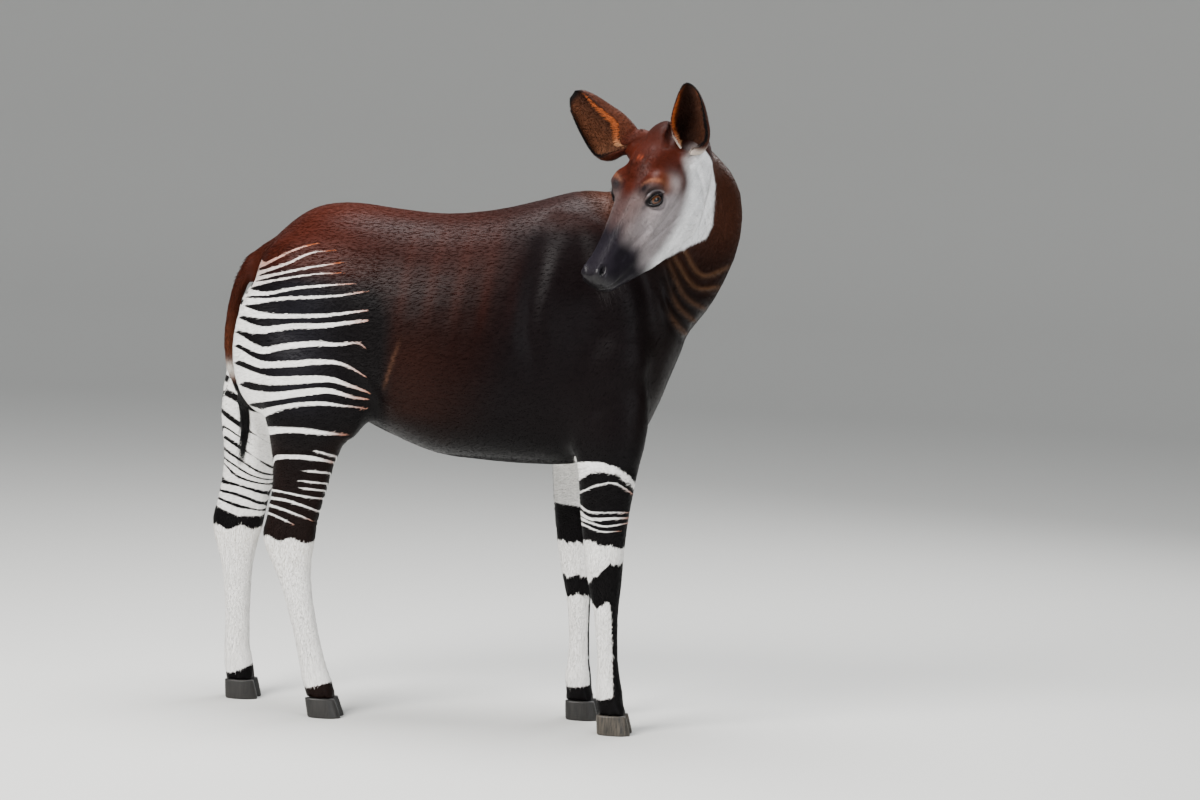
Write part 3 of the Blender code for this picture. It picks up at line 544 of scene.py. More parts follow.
def marks(points):
    """White markings of the limbs: band number, band width, orange share, depth inside a white patch."""
    x, y, z = points.T
    fore, ahead, aside, shift = leg_offsets(points)
    flat = x - shift
    wave = 0.004 * np.sin(9.0 * z + 31.0 * flat) * (y > 0)
    lean = np.abs(y) - 0.20
    level = z - 0.080 * lean + wave
    inner = step(0.012, -0.020, aside) * (z < 1.0) * (np.abs(ahead) < 0.12)
    phase, width, tint = banding(flat - 0.123 * lean, level + 0.45 * ahead * inner * step(0.60, 0.66, z),
                                 HAUNCH_BANDS)
    faded = 0.36 + 0.16 * step(-0.035, 0.020, ahead) * step(0.64, 0.70, z)
    width = lerp(width, np.maximum(width, faded), inner)
    tint = tint * (aside > 0.015)
    width = np.where(fore, NO_BAND, lerp(NO_BAND, width, step(-0.19, -0.235, flat)))
    trunk = step(1.140, 1.185, z) * step(0.072, 0.046, np.abs(y) - 0.50 * np.clip(z - 1.165, 0, 0.13))
    width = lerp(width, NO_BAND, trunk)

    lean = np.abs(y) - 0.15
    reach = flat - 0.123 * lean
    low = z - 0.080 * lean + wave
    phase_fore, width_fore, tint_fore = banding(reach, low, FOREARM_BANDS)
    inner_fore = aside < -0.012
    off_leg = (np.abs(ahead) > 0.095) | (low > 0.73)
    phase = np.where(fore, phase_fore, phase)
    width = np.where(fore, np.where(inner_fore | off_leg, NO_BAND, width_fore), width)
    tint = np.where(fore, tint_fore, tint)

    hock = 0.494 + 0.05 * np.clip(-ahead - 0.01, -0.05, 0.05) + 0.006 * np.sin(90 * ahead)
    patch_hind = between(level, 0.084 + 0.30 * np.clip(ahead + 0.02, 0, 0.06), hock)

    ragged = 0.004 * np.sin(130 * reach) + 0.003 * np.sin(310 * reach + 1.0)
    cuff = between(low, line_at(reach, CUFF_BOTTOM), line_at(reach, CUFF_TOP))
    streak = 0.010 * step(0.42, 0.50, reach) * (np.cos(low * 900 + reach * 260) > 0.55)
    cuff = np.minimum(cuff - streak, reach - 0.330)
    shin = between(low, line_at(reach, KNEE_TOP) + ragged, line_at(reach, SHIN_TOP) + ragged * 0.5)
    chip = 0.017 - np.hypot(reach - 0.502, (low - 0.432) * 0.46)
    cannon = between(low, 0.100 + 0.25 * np.clip(ahead, -0.02, 0.04), line_at(reach, KNEE_BOTTOM) + ragged)
    cannon = np.minimum(cannon, 0.018 - ahead - 0.02 * np.clip(0.30 - low, 0, 0.1))
    outer = np.maximum.reduce([cuff, shin, chip, cannon])
    medial = np.maximum.reduce([between(low, 0.603, 0.80), between(low, 0.405 + ragged, 0.500 + ragged),
                                between(low, 0.100, 0.352 + ragged)])
    patch_fore = np.where(inner_fore, medial, outer)
    patch_fore = np.where(off_leg & (low > 0.76) | (np.abs(ahead) > 0.105), -PATCH_EDGE, patch_fore)
    patch = np.where(z > 0.86, -PATCH_EDGE, np.where(fore, patch_fore, patch_hind))
    return phase, width, tint, np.clip(patch, -PATCH_EDGE, PATCH_EDGE)


def head_tone(points):
    """Colour of the head's hair by place, with painted shade and highlights, and how much of the neck the
    pale throat covers.
    """
    s, l, u = head_frame(points)
    w = np.abs(l)
    soft = np.where((s < 0.10) & (u < -0.03) | (u < -0.20), 0.0028, 0.022)
    pale = step(-1.0, 1.0, polygon_depth(s, u, PALE_CHEEK) / soft)
    crown = step(0.242, 0.192, s + np.clip(-u - 0.014, 0, 1) + 0.25 * np.clip(w - 0.045, 0, 1)
                 - 0.035 * bump(w, 0.0, 0.03))
    dark = step(0.12, 0.03, s) * 0.60 + 0.60 * bump(s, 0.158, 0.026) * bump(w, 0.020, 0.012)
    whorl = bump(np.hypot((s - 0.143) * 0.6, w - 0.006), 0.0, 0.004)
    brow = bump(s - 0.55 * (0.070 - w), 0.196, 0.008) * step(0.028, 0.045, w) * step(0.095, 0.08, w)
    # dark patch above and before the eye: partly the dark hair round the eye, partly painted shadow under
    # the brow ridge
    socket = bump(np.hypot(s - 0.222, (w - 0.052) * 0.75), 0.0, 0.019)
    # pale grey patch behind the eye: partly pale hair, partly painted highlight on the temple
    temple_pale_and_highlight = bump(np.hypot(s - 0.160, u + 0.030), 0.0, 0.024)
    grain = 0.010 * np.sin(70 * u + 3) + 0.007 * np.sin(150 * w + 40 * s)
    dusk = step(-0.040, 0.030, s - (0.340 + 0.40 * np.clip(-u - 0.005, 0, 0.075) + grain))
    tone = overlay(mix(BEIGE, GREY, step(0.03, -0.065, u) * step(0.14, 0.20, s)), (
        ((0.052, 0.027, 0.025), bump(w, 0.0, 0.047) * step(-0.03, 0.0, u) * step(0.14, 0.20, s) * 0.92),
        ((0.20, 0.165, 0.165), bump(s, 0.335, 0.035) * bump(u, -0.055, 0.04) * 0.6),
        (FOREHEAD, crown),
        ((0.018, 0.0045, 0.0026), dark * crown),
        ((0.17, 0.030, 0.010), 0.8 * whorl * step(0.0, 0.02, u)),
        (ORANGE, 0.55 * bump(s, 0.175, 0.020) * bump(w, 0.078, 0.020) * bump(u, -0.012, 0.022)),
        ((0.20, 0.075, 0.040), 0.85 * brow * step(-0.04, -0.01, u)),
        # dark patch round the eye, partly painted shadow under the brow
        ((0.0080, 0.0060, 0.0075), 0.95 * socket * step(-0.004, 0.014, u)),
        (CHEEK_WHITE, pale * 0.97),
        # pale hair behind the eye together with a painted highlight on the temple
        ((0.50, 0.47, 0.47), 0.45 * temple_pale_and_highlight * step(0.05, 0.07, w)),
        (MUZZLE, dusk),
        (BLACK, 0.8 * step(0.470, 0.500, s)),
    ))
    # painted shade: the mouth line darkened so the crease between the lips shows
    mouth = np.minimum(*(along_line(points, head_line(MOUTH, side))[0] for side in (-1, 1)))
    tone = mix(tone, BLACK, bump(mouth, 0.0, 0.007) * 0.9)
    # painted shade darkening the inside of the nostrils
    for side in (-1, 1):
        tone = mix(tone, BLACK, bump(along_line(points, head_line(NOSTRIL, side))[0], 0.0, 0.008))
    for side in (-1, 1):
        a, b, c = eye_space(points, side)
        ring = almond(a, b, 0.0074)
        shown = c > 0.0
        # pale line above the upper lid: partly pale hair, partly painted highlight on the roll of the lid
        crease = bump(almond(a, b, 0.0108), 1.0, 0.070) * (b > 0.004) * step(0.020, 0.010, a)
        tear = bump(np.hypot((a - 0.034) * 0.45, b + 0.004 + 0.15 * (a - 0.03)), 0.0, 0.0055)
        tone = overlay(tone, (
            (BLACK, step(1.10, 0.92, ring) * shown),
            ((0.030, 0.024, 0.028),
             0.48 * step(1.9, 1.0, ring) * shown * (b > 0) * step(0.010, -0.012, a + 0.1 * b)),
            (GREY, 0.80 * crease * shown),
            ((0.05, 0.042, 0.045), 0.7 * tear * shown),
        ))
    return tone, pale * (s > -0.03) * step(0.125, 0.110, w)


def coat_tone(points):
    """Ground colour of the hair by place, with painted highlights on back, ribs and folds, without the white
    bands.
    """
    x, y, z = points.T
    head, neck, legs, tail = regions(points)
    fore, _, aside, shift = leg_offsets(points)
    flat = x - np.where(z < 1.0, shift, 0)
    tone = overlay(mix(FLANK, CHESTNUT, step(1.16, 1.34, z)), (
        (RUST, step(-0.16, -0.40, x) * step(1.14, 1.27, z)),
        # painted highlight: the top of the back and rump made lighter where the light falls from above
        ((0.052, 0.0092, 0.0042), step(1.36, 1.41, z) * step(0.15, -0.2, x) * 0.55),
    ))
    # painted sheen: five lighter upright bands over the ribs, where they catch the light
    for k in range(5):
        rib_sheen = bump(x, -0.13 + 0.075 * k + 0.10 * (z - 1.2), 0.016)
        tone = mix(tone, (0.026, 0.0046, 0.0021), 0.45 * rib_sheen * step(1.05, 1.2, z) * step(1.43, 1.36, z))
    shoulder = step(0.06, 0.22, x + 0.25 * np.clip(1.15 - z, 0, 0.4))
    thigh = step(-0.135, -0.190,
                 flat + 0.10 * np.clip(1.02 - z, 0, 0.3) + 0.35 * np.clip(z - 1.10, 0, 0.2)) \
        * step(1.265, 1.185, z + 0.10 * (flat + 0.5))
    # painted highlight: a thin light line along the flank fold at the front edge of the thigh
    fold_highlight = bump(x - 0.33 * (z - 1.0), -0.152, 0.0045) * step(0.91, 0.95, z) * step(1.08, 1.01, z)
    tone = overlay(tone, (
        ((0.0055, 0.0017, 0.0012), step(0.98, 0.82, z) * 0.75),
        (SHADOW, shoulder * step(1.44, 1.34, z) * 0.92),
        ((0.014, 0.0048, 0.0042), shoulder * step(1.36, 1.44, z) * 0.7),
        (BRISKET, step(0.47, 0.56, x) * 0.7),
        ((0.018, 0.0050, 0.0028), 0.55 * bump(x, -0.10, 0.09) * step(1.16, 1.0, z) * step(0.80, 0.88, z)),
        (BLACK, thigh * 0.94),
        ((0.0090, 0.0085, 0.0115), 0.8 * thigh * bump(x, -0.42, 0.09) * step(0.8, 0.9, z)),
        ((0.030, 0.0056, 0.0024), step(0.070, 0.050, np.abs(y)) * step(-0.515, -0.550, x) * (z > 1.10)),
        # painted highlight along the flank fold
        ((0.080, 0.036, 0.021), 0.60 * fold_highlight * (np.abs(y) > 0.1)),
        (BLACK, legs * 0.9),
        ((0.014, 0.0055, 0.0035), 0.5 * legs * bump(aside, 0.03, 0.03) * (~fore) * step(0.9, 0.7, z)),
    ))

    neck_tone = mix(NECK_BROWN, (0.0125, 0.0042, 0.0026), step(1.42, 1.26, z))
    neck_tone = mix(neck_tone, (0.068, 0.026, 0.015), step(1.50, 1.60, z) * 0.6)
    # painted highlight along the crest of each neck fold, fainter where the folds reach the trunk
    for crest in FOLD_CRESTS:
        line = bump(flat_gap(x, z, spline(crest, 14)), 0.0, 0.0065) * step(0.545, 0.60, x) * step(0.050,
                                                                                                  -0.030, y)
        neck_tone = mix(neck_tone, FOLD_CREST_HIGHLIGHT, 0.80 * line)
        tone = mix(tone, FOLD_CREST_HIGHLIGHT, 0.45 * line * step(0.56, 0.60, x))
    tint, pale = head_tone(points)
    tail_tone = overlay(mix(TAIL_BROWN, (0.034, 0.0075, 0.0034), step(1.02, 1.14, z)), (
        (ASH, bump(z, 0.940, 0.020)),
        (BLACK, step(0.918, 0.895, z)),
    ))
    return overlay(tone, (
        (neck_tone, neck),
        (CHEEK_WHITE, pale * neck * 0.97),
        (tint, head),
        (tail_tone, tail),
    ))


def whiten(points, tone, rng):
    """Adds the white bands and patches to hairs, each hair all of one colour."""
    head, neck, _, tail = regions(points)
    phase, width, tint, patch = marks(points)
    off = np.abs(phase - np.round(phase))
    fuzz = rng.normal(0, 0.018, len(points))
    band = (off < width + fuzz) & (width > 0.01)
    area = patch > rng.normal(0, 0.0022, len(points))
    white = (band | area) & (tail < 0.5) & (head < 0.5) & (neck < 0.5)
    colour = mix(WHITE, ORANGE, np.where(band & ~area, tint, 0.0))
    colour = mix(colour, CREAM, bump(points[:, 2], 0.46, 0.05) * (points[:, 0] < 0) * 0.35)
    return np.where(white[:, None], colour, tone)


# meshes

def link(name, data):
    obj = bpy.data.objects.new(name, data)
    bpy.context.scene.collection.objects.link(obj)
    return obj


def new_piece(name, bm):
    mesh = bpy.data.meshes.new(name)
    bm.to_mesh(mesh)
    bm.free()
    mesh.shade_smooth()
    return link(name, mesh)


def settle(obj, slot, *nodes):
    """Hang a finished piece on the model and let it stand for its solids."""
    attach(obj, "root")
    if nodes:
        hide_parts(*nodes)
    return obj


def read(mesh, what="co"):
    rows = np.empty(len(mesh.vertices) * 3)
    mesh.vertices.foreach_get(what, rows)
    return rows.reshape(-1, 3)


def write(mesh, rows):
    mesh.vertices.foreach_set("co", np.ascontiguousarray(rows, dtype=float).ravel())
    mesh.update()


def apply_modifiers(obj):
    graph = bpy.context.evaluated_depsgraph_get()
    mesh = bpy.data.meshes.new_from_object(obj.evaluated_get(graph), depsgraph=graph)
    old = obj.data
    obj.modifiers.clear()
    obj.data = mesh
    bpy.data.meshes.remove(old)


def keep_largest(bm):
    """Drop every loose scrap but the largest closed surface."""
    left = set(bm.verts)
    islands = []
    while left:
        seed = left.pop()
        island = {seed}
        queue = [seed]
        while queue:
            for edge in queue.pop().link_edges:
                for vert in edge.verts:
                    if vert not in island:
                        island.add(vert)
                        queue.append(vert)
        left -= island
        islands.append(island)
    islands.sort(key=len)
    bmesh.ops.delete(bm, geom=[v for island in islands[:-1] for v in island], context="VERTS")


def edge_pairs(mesh):
    rows = np.empty(len(mesh.edges) * 2, int)
    mesh.edges.foreach_get("vertices", rows)
    return rows.reshape(-1, 2).T


def relax(mesh, rate, rounds):
    """Even out the surface, by a rate for each vertex, without drawing it in."""
    a, b = edge_pairs(mesh)
    co = read(mesh)
    degree = np.bincount(a, minlength=len(co)) + np.bincount(b, minlength=len(co))
    for k in range(rounds):
        total = np.stack([np.bincount(a, co[b, i], len(co)) + np.bincount(b, co[a, i], len(co))
                          for i in range(3)], 1)
        pull = 0.50 if k % 2 == 0 else -0.52
        co += pull * rate[:, None] * (total / degree[:, None] - co)
    write(mesh, co)


def groove(points, normal, line, width, depth):
    """Soft furrow (depth above zero) or ridge (below zero) along a line of places."""
    curve = spline(line, 18)
    reach = 3 * width
    close = ((points > curve.min(0) - reach) & (points < curve.max(0) + reach)).all(1)
    near = bump(along_line(points[close], curve)[0], 0.0, width)
    points[close] -= normal[close] * (near * depth)[:, None]


def refine(obj, test, rounds=1):
    """Halve the mesh where the test holds."""
    for _ in range(rounds):
        bm = bmesh.new()
        bm.from_mesh(obj.data)
        bm.verts.ensure_lookup_table()
        chosen = test(read(obj.data) + CENTRE)
        edges = [e for e in bm.edges if chosen[e.verts[0].index] and chosen[e.verts[1].index]]
        bmesh.ops.subdivide_edges(bm, edges=edges, cuts=1, use_grid_fill=True)
        bm.to_mesh(obj.data)
        bm.free()


def near_head(points):
    head, neck = regions(points)[:2]
    x, y, z = points.T
    throat = (neck > 0.5) & (y < 0.03) & (x > 0.52) & (z > 1.12) & (z < 1.40)
    return (head > 0.01) | throat


def near_eyes(points):
    hit = np.zeros(len(points), bool)
    for side in (-1, 1):
        hit |= eye_distance(points, side) < EYE_REACH
    s, l, u = head_frame(points)
    return hit | ((s > 0.445) & (np.hypot(l, u + 0.05) < 0.075))


def skin_places():
    return read(bpy.data.objects["skin"].data) + CENTRE


def build_skin(settings):
    bm = bmesh.new()
    for name in FLESH:
        bm.from_mesh(frame["nodes"][name].data)
    bmesh.ops.remove_doubles(bm, verts=bm.verts, dist=1e-6)
    for side in (-1, 1):
        place = Matrix.Translation(eye_centre(side) - CENTRE)
        bmesh.ops.create_icosphere(bm, subdivisions=3, radius=settings.eye_radius + 0.001, matrix=place)
    skin = new_piece("skin", bm)
    mod = skin.modifiers.new("one_surface", "REMESH")
    mod.mode = "VOXEL"
    mod.voxel_size = settings.voxel
    apply_modifiers(skin)
    bm = bmesh.new()
    bm.from_mesh(skin.data)
    keep_largest(bm)
    bm.to_mesh(skin.data)
    bm.free()
    co = read(skin.data) + CENTRE
    head, _, legs, tail = regions(co)
    relax(skin.data, np.clip(1.0 - 0.72 * head - 0.75 * tail - 0.35 * legs, 0.06, 1), 36)
    refine(skin, near_head)
    co = read(skin.data) + CENTRE
    head, _, _, tail = regions(co)
    relax(skin.data, np.clip(0.9 - 0.2 * head - 0.8 * tail, 0.05, 1) * near_head(co), 8)
    refine(skin, near_eyes)
    co = read(skin.data) + CENTRE
    relax(skin.data, near_eyes(co) * 0.8, 6)
    sculpt(skin.data, settings)
    paint_skin(skin)
    skin.data.shade_smooth()
    skin.data.materials.append(skin_material())
    return settle(skin, "body_coat", *FLESH)


def sculpt(mesh, settings):
    """Draw the skin in by the coat's depth, then shape folds, lids, mouth and nostrils."""
    normal = read(mesh, "normal")
    co = read(mesh) + CENTRE
    head, _, legs, tail = regions(co)
    feet = step(0.16, 0.08, co[:, 2])
    muzzle = step(0.36, 0.46, head_frame(co)[0]) * head
    share = 1 - 0.45 * head - 0.25 * legs - 0.35 * tail - 0.3 * feet * legs - 0.35 * muzzle
    co -= normal * (settings.depth * share)[:, None]
    for side in (-1, 1):
        for line, width, depth in FURROWS:
            groove(co, normal, head_line(line, side), width, depth)
    for place in (0.020, 0.044, -0.012, -0.034):
        whorl = head_point(0.150 - 0.3 * (abs(place) - 0.02), place, 0.044)
        gap = np.linalg.norm(co - whorl, axis=1)
        co += normal * (0.0010 * bump(gap, 0.011, 0.006) - 0.0012 * bump(gap, 0.0, 0.005))[:, None]
    for crest in FOLD_CRESTS:
        for lift, width, drop in ((-0.0048, 0.0060, 0.0), (0.0042, 0.0065, -0.0135)):
            gap = flat_gap(co[:, 0], co[:, 2], spline(crest, 16) + np.array((0.45, 0.9)) * drop)
            wrap = step(0.03, -0.05, co[:, 1]) * step(0.535, 0.58, co[:, 0]) * (1 - head)
            wrap = wrap * step(0.722, 0.665, co[:, 0])
            co -= normal * (lift * bump(gap, 0.0, width) * wrap)[:, None]
    for side in (-1, 1):
        shape_lids(co, side, settings.eye_radius)
    write(mesh, co - CENTRE)


def shape_lids(co, side, radius):
    """Wrap the skin over the eyeball as two lids with an almond slit between them."""
    out, along, up = eye_axes(side)
    centre = eye_centre(side)
    rel = co - centre
    a, b, c = rel @ along, rel @ up, rel @ out
    close = (np.linalg.norm(rel, axis=1) < 0.048) & (c > -0.004)
    ring = almond(a, b)
    snap = close & (ring > 0.80) & (ring < 1.16)
    factor = np.where(snap, 1.0 / np.maximum(ring, 1e-6), 1.0)
    a, b = a * factor, b * factor
    ring = ring * factor
    flat = np.hypot(a, b)
    inner = close & (ring < 0.97)
    lid = close & ~inner
    shell = radius + 0.0020 + 0.0022 * step(1.0, 1.5, ring) + 0.0012 * (b > 0)
    dome = np.sqrt(np.maximum(shell ** 2 - flat ** 2, 0.0))
    blend = step(0.0400, 0.0230, flat)
    raised = c * (1 - blend) + np.maximum(dome, c * 0.35) * blend
    c = np.where(lid, raised, c)
    deep = np.sqrt(np.maximum((radius - 0.0055) ** 2 - flat ** 2, 0.0))
    c = np.where(inner, deep, c)
    crease = bump(almond(a, b, 0.0080), 1.0, 0.070) * (b > 0.002)
    bag = bump(almond(a, b, 0.0065), 1.0, 0.09) * (b < 0)
    c = np.where(lid, c - 0.0020 * crease - 0.0010 * bag, c)
    moved = centre + np.outer(a, along) + np.outer(b, up) + np.outer(c, out)
    co[close] = moved[close]


def attribute(mesh, name, kind, values):
    layer = mesh.attributes.new(name, kind, "POINT")
    if kind == "FLOAT":
        layer.data.foreach_set("value", np.ascontiguousarray(values, dtype=np.float32))
    elif kind == "FLOAT_VECTOR":
        layer.data.foreach_set("vector", np.ascontiguousarray(values, dtype=np.float32).ravel())
    else:
        rows = np.ones((len(values), 4), np.float32)
        rows[:, :3] = values
        layer.data.foreach_set("color", rows.ravel())


def paint_skin(obj):
    """Store the ground colour, the band field and the direction of the hair on the skin."""
    mesh = obj.data
    co = read(mesh) + CENTRE
    head, neck, legs, tail = regions(co)
    attribute(mesh, "tone", "FLOAT_COLOR", coat_tone(co))
    phase, width, tint, patch = marks(co)
    off_limb = np.maximum(np.maximum(head, neck), tail)
    attribute(mesh, "band", "FLOAT", phase + 1)
    attribute(mesh, "band_width", "FLOAT", lerp(width, NO_BAND, off_limb))
    attribute(mesh, "orange", "FLOAT", tint)
    attribute(mesh, "patch", "FLOAT", lerp(patch, -PATCH_EDGE, off_limb))
    s, l, u = head_frame(co)
    x, y, z = co.T
    upright = np.stack((x, y, z), 1)
    grain = np.stack((z, y, x), 1)
    for weight, rows in ((legs, upright), (tail, upright), (neck, upright), (head, np.stack((l, u, s), 1))):
        grain = mix(grain, rows, weight)
    attribute(mesh, "grain", "FLOAT_VECTOR", grain)
    attribute(mesh, "bare", "FLOAT", step(0.452, 0.485, s) * head)


# materials

def node(tree, kind, **values):
    made = tree.nodes.new(kind)
    for key, value in values.items():
        if key in made.bl_rna.properties:
            setattr(made, key, value)
        else:
            made.inputs[key].default_value = value
    return made


def principled(name, colour=(0.5, 0.5, 0.5), rough=0.5, **values):
    mat = bpy.data.materials.new(name)
    mat.use_nodes = True
    shader = mat.node_tree.nodes["Principled BSDF"]
    shader.inputs["Base Color"].default_value = (*colour, 1)
    shader.inputs["Roughness"].default_value = rough
    for key, value in values.items():
        shader.inputs[key].default_value = value
    return mat, mat.node_tree, shader


def math_node(tree, operation, first, second=None, third=None, clamp=False):
    made = tree.nodes.new("ShaderNodeMath")
    made.operation = operation
    made.use_clamp = clamp
    for k, value in enumerate((first, second, third)):
        if value is None:
            continue
        if isinstance(value, (int, float)):
            made.inputs[k].default_value = value
        else:
            tree.links.new(value, made.inputs[k])
    return made.outputs[0]


def root_of_squares(tree, first, second):
    squares = [math_node(tree, "MULTIPLY", value, value) for value in (first, second)]
    return math_node(tree, "SQRT", math_node(tree, "ADD", *squares))


def object_place(tree):
    return tree.nodes.new("ShaderNodeTexCoord").outputs["Object"]


def stretched_noise(tree, source, scale, detail=3.0, rough=0.55):
    """Noise whose grain is long in the direction of the hair."""
    mapping = tree.nodes.new("ShaderNodeVectorMath")
    mapping.operation = "MULTIPLY"
    tree.links.new(source, mapping.inputs[0])
    mapping.inputs[1].default_value = scale
    cloud = node(tree, "ShaderNodeTexNoise", Scale=1.0, Detail=detail, Roughness=rough)
    tree.links.new(mapping.outputs[0], cloud.inputs["Vector"])
    return cloud.outputs["Fac"]


def mix_colour(tree, first, second, factor, blend="MIX"):
    made = node(tree, "ShaderNodeMix", data_type="RGBA", blend_type=blend)
    for socket, value in ((made.inputs[6], first), (made.inputs[7], second)):
        if isinstance(value, tuple):
            socket.default_value = (*value, 1)
        else:
            tree.links.new(value, socket)
    if isinstance(factor, (int, float)):
        made.inputs[0].default_value = factor
    else:
        tree.links.new(factor, made.inputs[0])
    return made.outputs[2]


def shaded(tree, colour, shade):
    """Colour made lighter or darker by a number."""
    tint = node(tree, "ShaderNodeCombineColor")
    for k in range(3):
        tree.links.new(shade, tint.inputs[k])
    return mix_colour(tree, colour, tint.outputs[0], 1.0, "MULTIPLY")


def named(tree, name, output="Fac"):
    made = node(tree, "ShaderNodeAttribute", attribute_name=name)
    return made.outputs[output]


def relief(tree, shader, height, strength, distance):
    made = node(tree, "ShaderNodeBump", Strength=strength, Distance=distance)
    tree.links.new(height, made.inputs["Height"])
    tree.links.new(made.outputs[0], shader.inputs["Normal"])


def skin_material():
    """Short hair seen as a surface: ground colour, crisp hairy bands and grain."""
    mat, tree, shader = principled("skin_hair", rough=0.46)
    bare = named(tree, "bare")
    tree.links.new(math_node(tree, "MULTIPLY_ADD", bare, 0.20, 0.08), shader.inputs["Specular IOR Level"])
    grain = named(tree, "grain", "Vector")
    hairs = stretched_noise(tree, grain, (620.0, 620.0, 60.0), 2.0)
    clumps = stretched_noise(tree, grain, (120.0, 120.0, 16.0), 3.0)
    fringe = math_node(tree, "SUBTRACT", stretched_noise(tree, grain, (420.0, 420.0, 90.0), 1.0), 0.5)
    off = math_node(tree, "PINGPONG", named(tree, "band"), 0.5)
    edge = math_node(tree, "SUBTRACT", named(tree, "band_width"), off)
    edge = math_node(tree, "ADD", edge, math_node(tree, "MULTIPLY", fringe, 0.10))
    band = math_node(tree, "MULTIPLY", edge, 24.0, clamp=True)
    area = math_node(tree, "ADD", named(tree, "patch"), math_node(tree, "MULTIPLY", fringe, 0.012))
    area = math_node(tree, "MULTIPLY", area, 900.0, clamp=True)
    white = mix_colour(tree, WHITE, ORANGE, named(tree, "orange"))
    white = mix_colour(tree, white, WHITE, area)
    colour = mix_colour(tree, named(tree, "tone", "Color"), white, math_node(tree, "MAXIMUM", band, area))
    colour = shaded(tree, colour, math_node(tree, "MULTIPLY_ADD", clumps, 0.55, 0.72))
    tree.links.new(colour, shader.inputs["Base Color"])
    rough = math_node(tree, "MULTIPLY_ADD", clumps, 0.18, 0.34)
    rough = math_node(tree, "MULTIPLY_ADD", bare, -0.10, rough)
    tree.links.new(rough, shader.inputs["Roughness"])
    relief(tree, shader, math_node(tree, "MULTIPLY_ADD", clumps, 0.6, hairs), 0.20, 0.0006)
    return mat


def hair_material(name, rough=0.50, spec=0.055):
    """Tufts coloured by the place they grow from, with a streak along each."""
    mat = bpy.data.materials.get(name)
    if mat:
        return mat
    mat, tree, shader = principled(name, rough=rough)
    shader.inputs["Specular IOR Level"].default_value = spec
    streak = stretched_noise(tree, object_place(tree), (260.0, 260.0, 260.0), 1.0)
    colour = shaded(tree, named(tree, "hair", "Color"), math_node(tree, "MULTIPLY_ADD", streak, 0.5, 0.75))
    tree.links.new(colour, shader.inputs["Base Color"])
    return mat


def eye_material():
    """Dark brown iris with a wide level pupil under a wet glossy surface."""
    mat, tree, shader = principled("eye_wet", (0.02, 0.01, 0.006), 0.06)
    shader.inputs["Coat Weight"].default_value = 0.35
    shader.inputs["Coat Roughness"].default_value = 0.015
    shader.inputs["Specular IOR Level"].default_value = 0.25
    gaze = named(tree, "gaze", "Vector")
    split = tree.nodes.new("ShaderNodeSeparateXYZ")
    tree.links.new(gaze, split.inputs[0])
    x, y = split.outputs[0], split.outputs[1]
    reach = root_of_squares(tree, x, y)
    iris = math_node(tree, "MULTIPLY", math_node(tree, "SUBTRACT", 0.66, reach), 9.0, clamp=True)
    slot = root_of_squares(tree, math_node(tree, "MULTIPLY", x, 2.2), math_node(tree, "MULTIPLY", y, 3.9))
    pupil = math_node(tree, "MULTIPLY", math_node(tree, "SUBTRACT", 1.0, slot), 9.0, clamp=True)
    rays = node(tree, "ShaderNodeTexNoise", Scale=9.0, Detail=3.0)
    tree.links.new(gaze, rays.inputs["Vector"])
    brown = mix_colour(tree, (0.030, 0.0100, 0.0036), (0.110, 0.038, 0.0110), rays.outputs["Fac"])
    colour = mix_colour(tree, (0.0040, 0.0028, 0.0028), brown, iris)
    colour = mix_colour(tree, colour, (0.002, 0.002, 0.003), pupil)
    tree.links.new(colour, shader.inputs["Base Color"])
    return mat


def rim_material():
    mat, tree, shader = principled("lid_rim", (0.010, 0.008, 0.009), 0.30)
    relief(tree, shader, stretched_noise(tree, object_place(tree), (900.0, 900.0, 900.0)), 0.4, 0.0004)
    return mat


def horn_material(name, dark, light):
    """Streaked horn with faint growth rings."""
    mat, tree, shader = principled(name, dark, 0.5)
    place = object_place(tree)
    streaks = stretched_noise(tree, place, (240.0, 240.0, 22.0), 4.0, 0.6)
    rings = stretched_noise(tree, place, (6.0, 6.0, 260.0), 2.0)
    contrast = math_node(tree, "MULTIPLY_ADD", streaks, 2.6, -0.85, clamp=True)
    tree.links.new(mix_colour(tree, dark, light, contrast), shader.inputs["Base Color"])
    tree.links.new(math_node(tree, "MULTIPLY_ADD", streaks, 0.3, 0.34), shader.inputs["Roughness"])
    relief(tree, shader, math_node(tree, "ADD", rings, streaks), 0.5, 0.0008)
    return mat


# coat

def triangles(mesh):
    mesh.calc_loop_triangles()
    rows = np.empty(len(mesh.loop_triangles) * 3, int)
    mesh.loop_triangles.foreach_get("vertices", rows)
    return rows.reshape(-1, 3)


def scatter(mesh, share, count, rng, even=True):
    """Random places on a surface by a share for each triangle: place, normal, corners, their weights."""
    tri = triangles(mesh)
    co, normal = read(mesh) + CENTRE, read(mesh, "normal")
    a, b, c = co[tri[:, 0]], co[tri[:, 1]], co[tri[:, 2]]
    total = np.cumsum(0.5 * np.linalg.norm(np.cross(b - a, c - a), axis=1) * share)
    if total[-1] <= 0:
        raise RuntimeError("no surface to grow hair on")
    spots = rng.random(count)
    spots = (np.arange(count) + spots) * total[-1] / count if even else spots * total[-1]
    corners = tri[np.clip(np.searchsorted(total, spots), 0, len(tri) - 1)]
    r1, r2 = np.sqrt(rng.random(count)), rng.random(count)
    weights = np.stack([1 - r1, r1 * (1 - r2), r1 * r2], 1)
    root = (co[corners] * weights[:, :, None]).sum(1)
    rise = unit((normal[corners] * weights[:, :, None]).sum(1))
    return root, rise, corners, weights


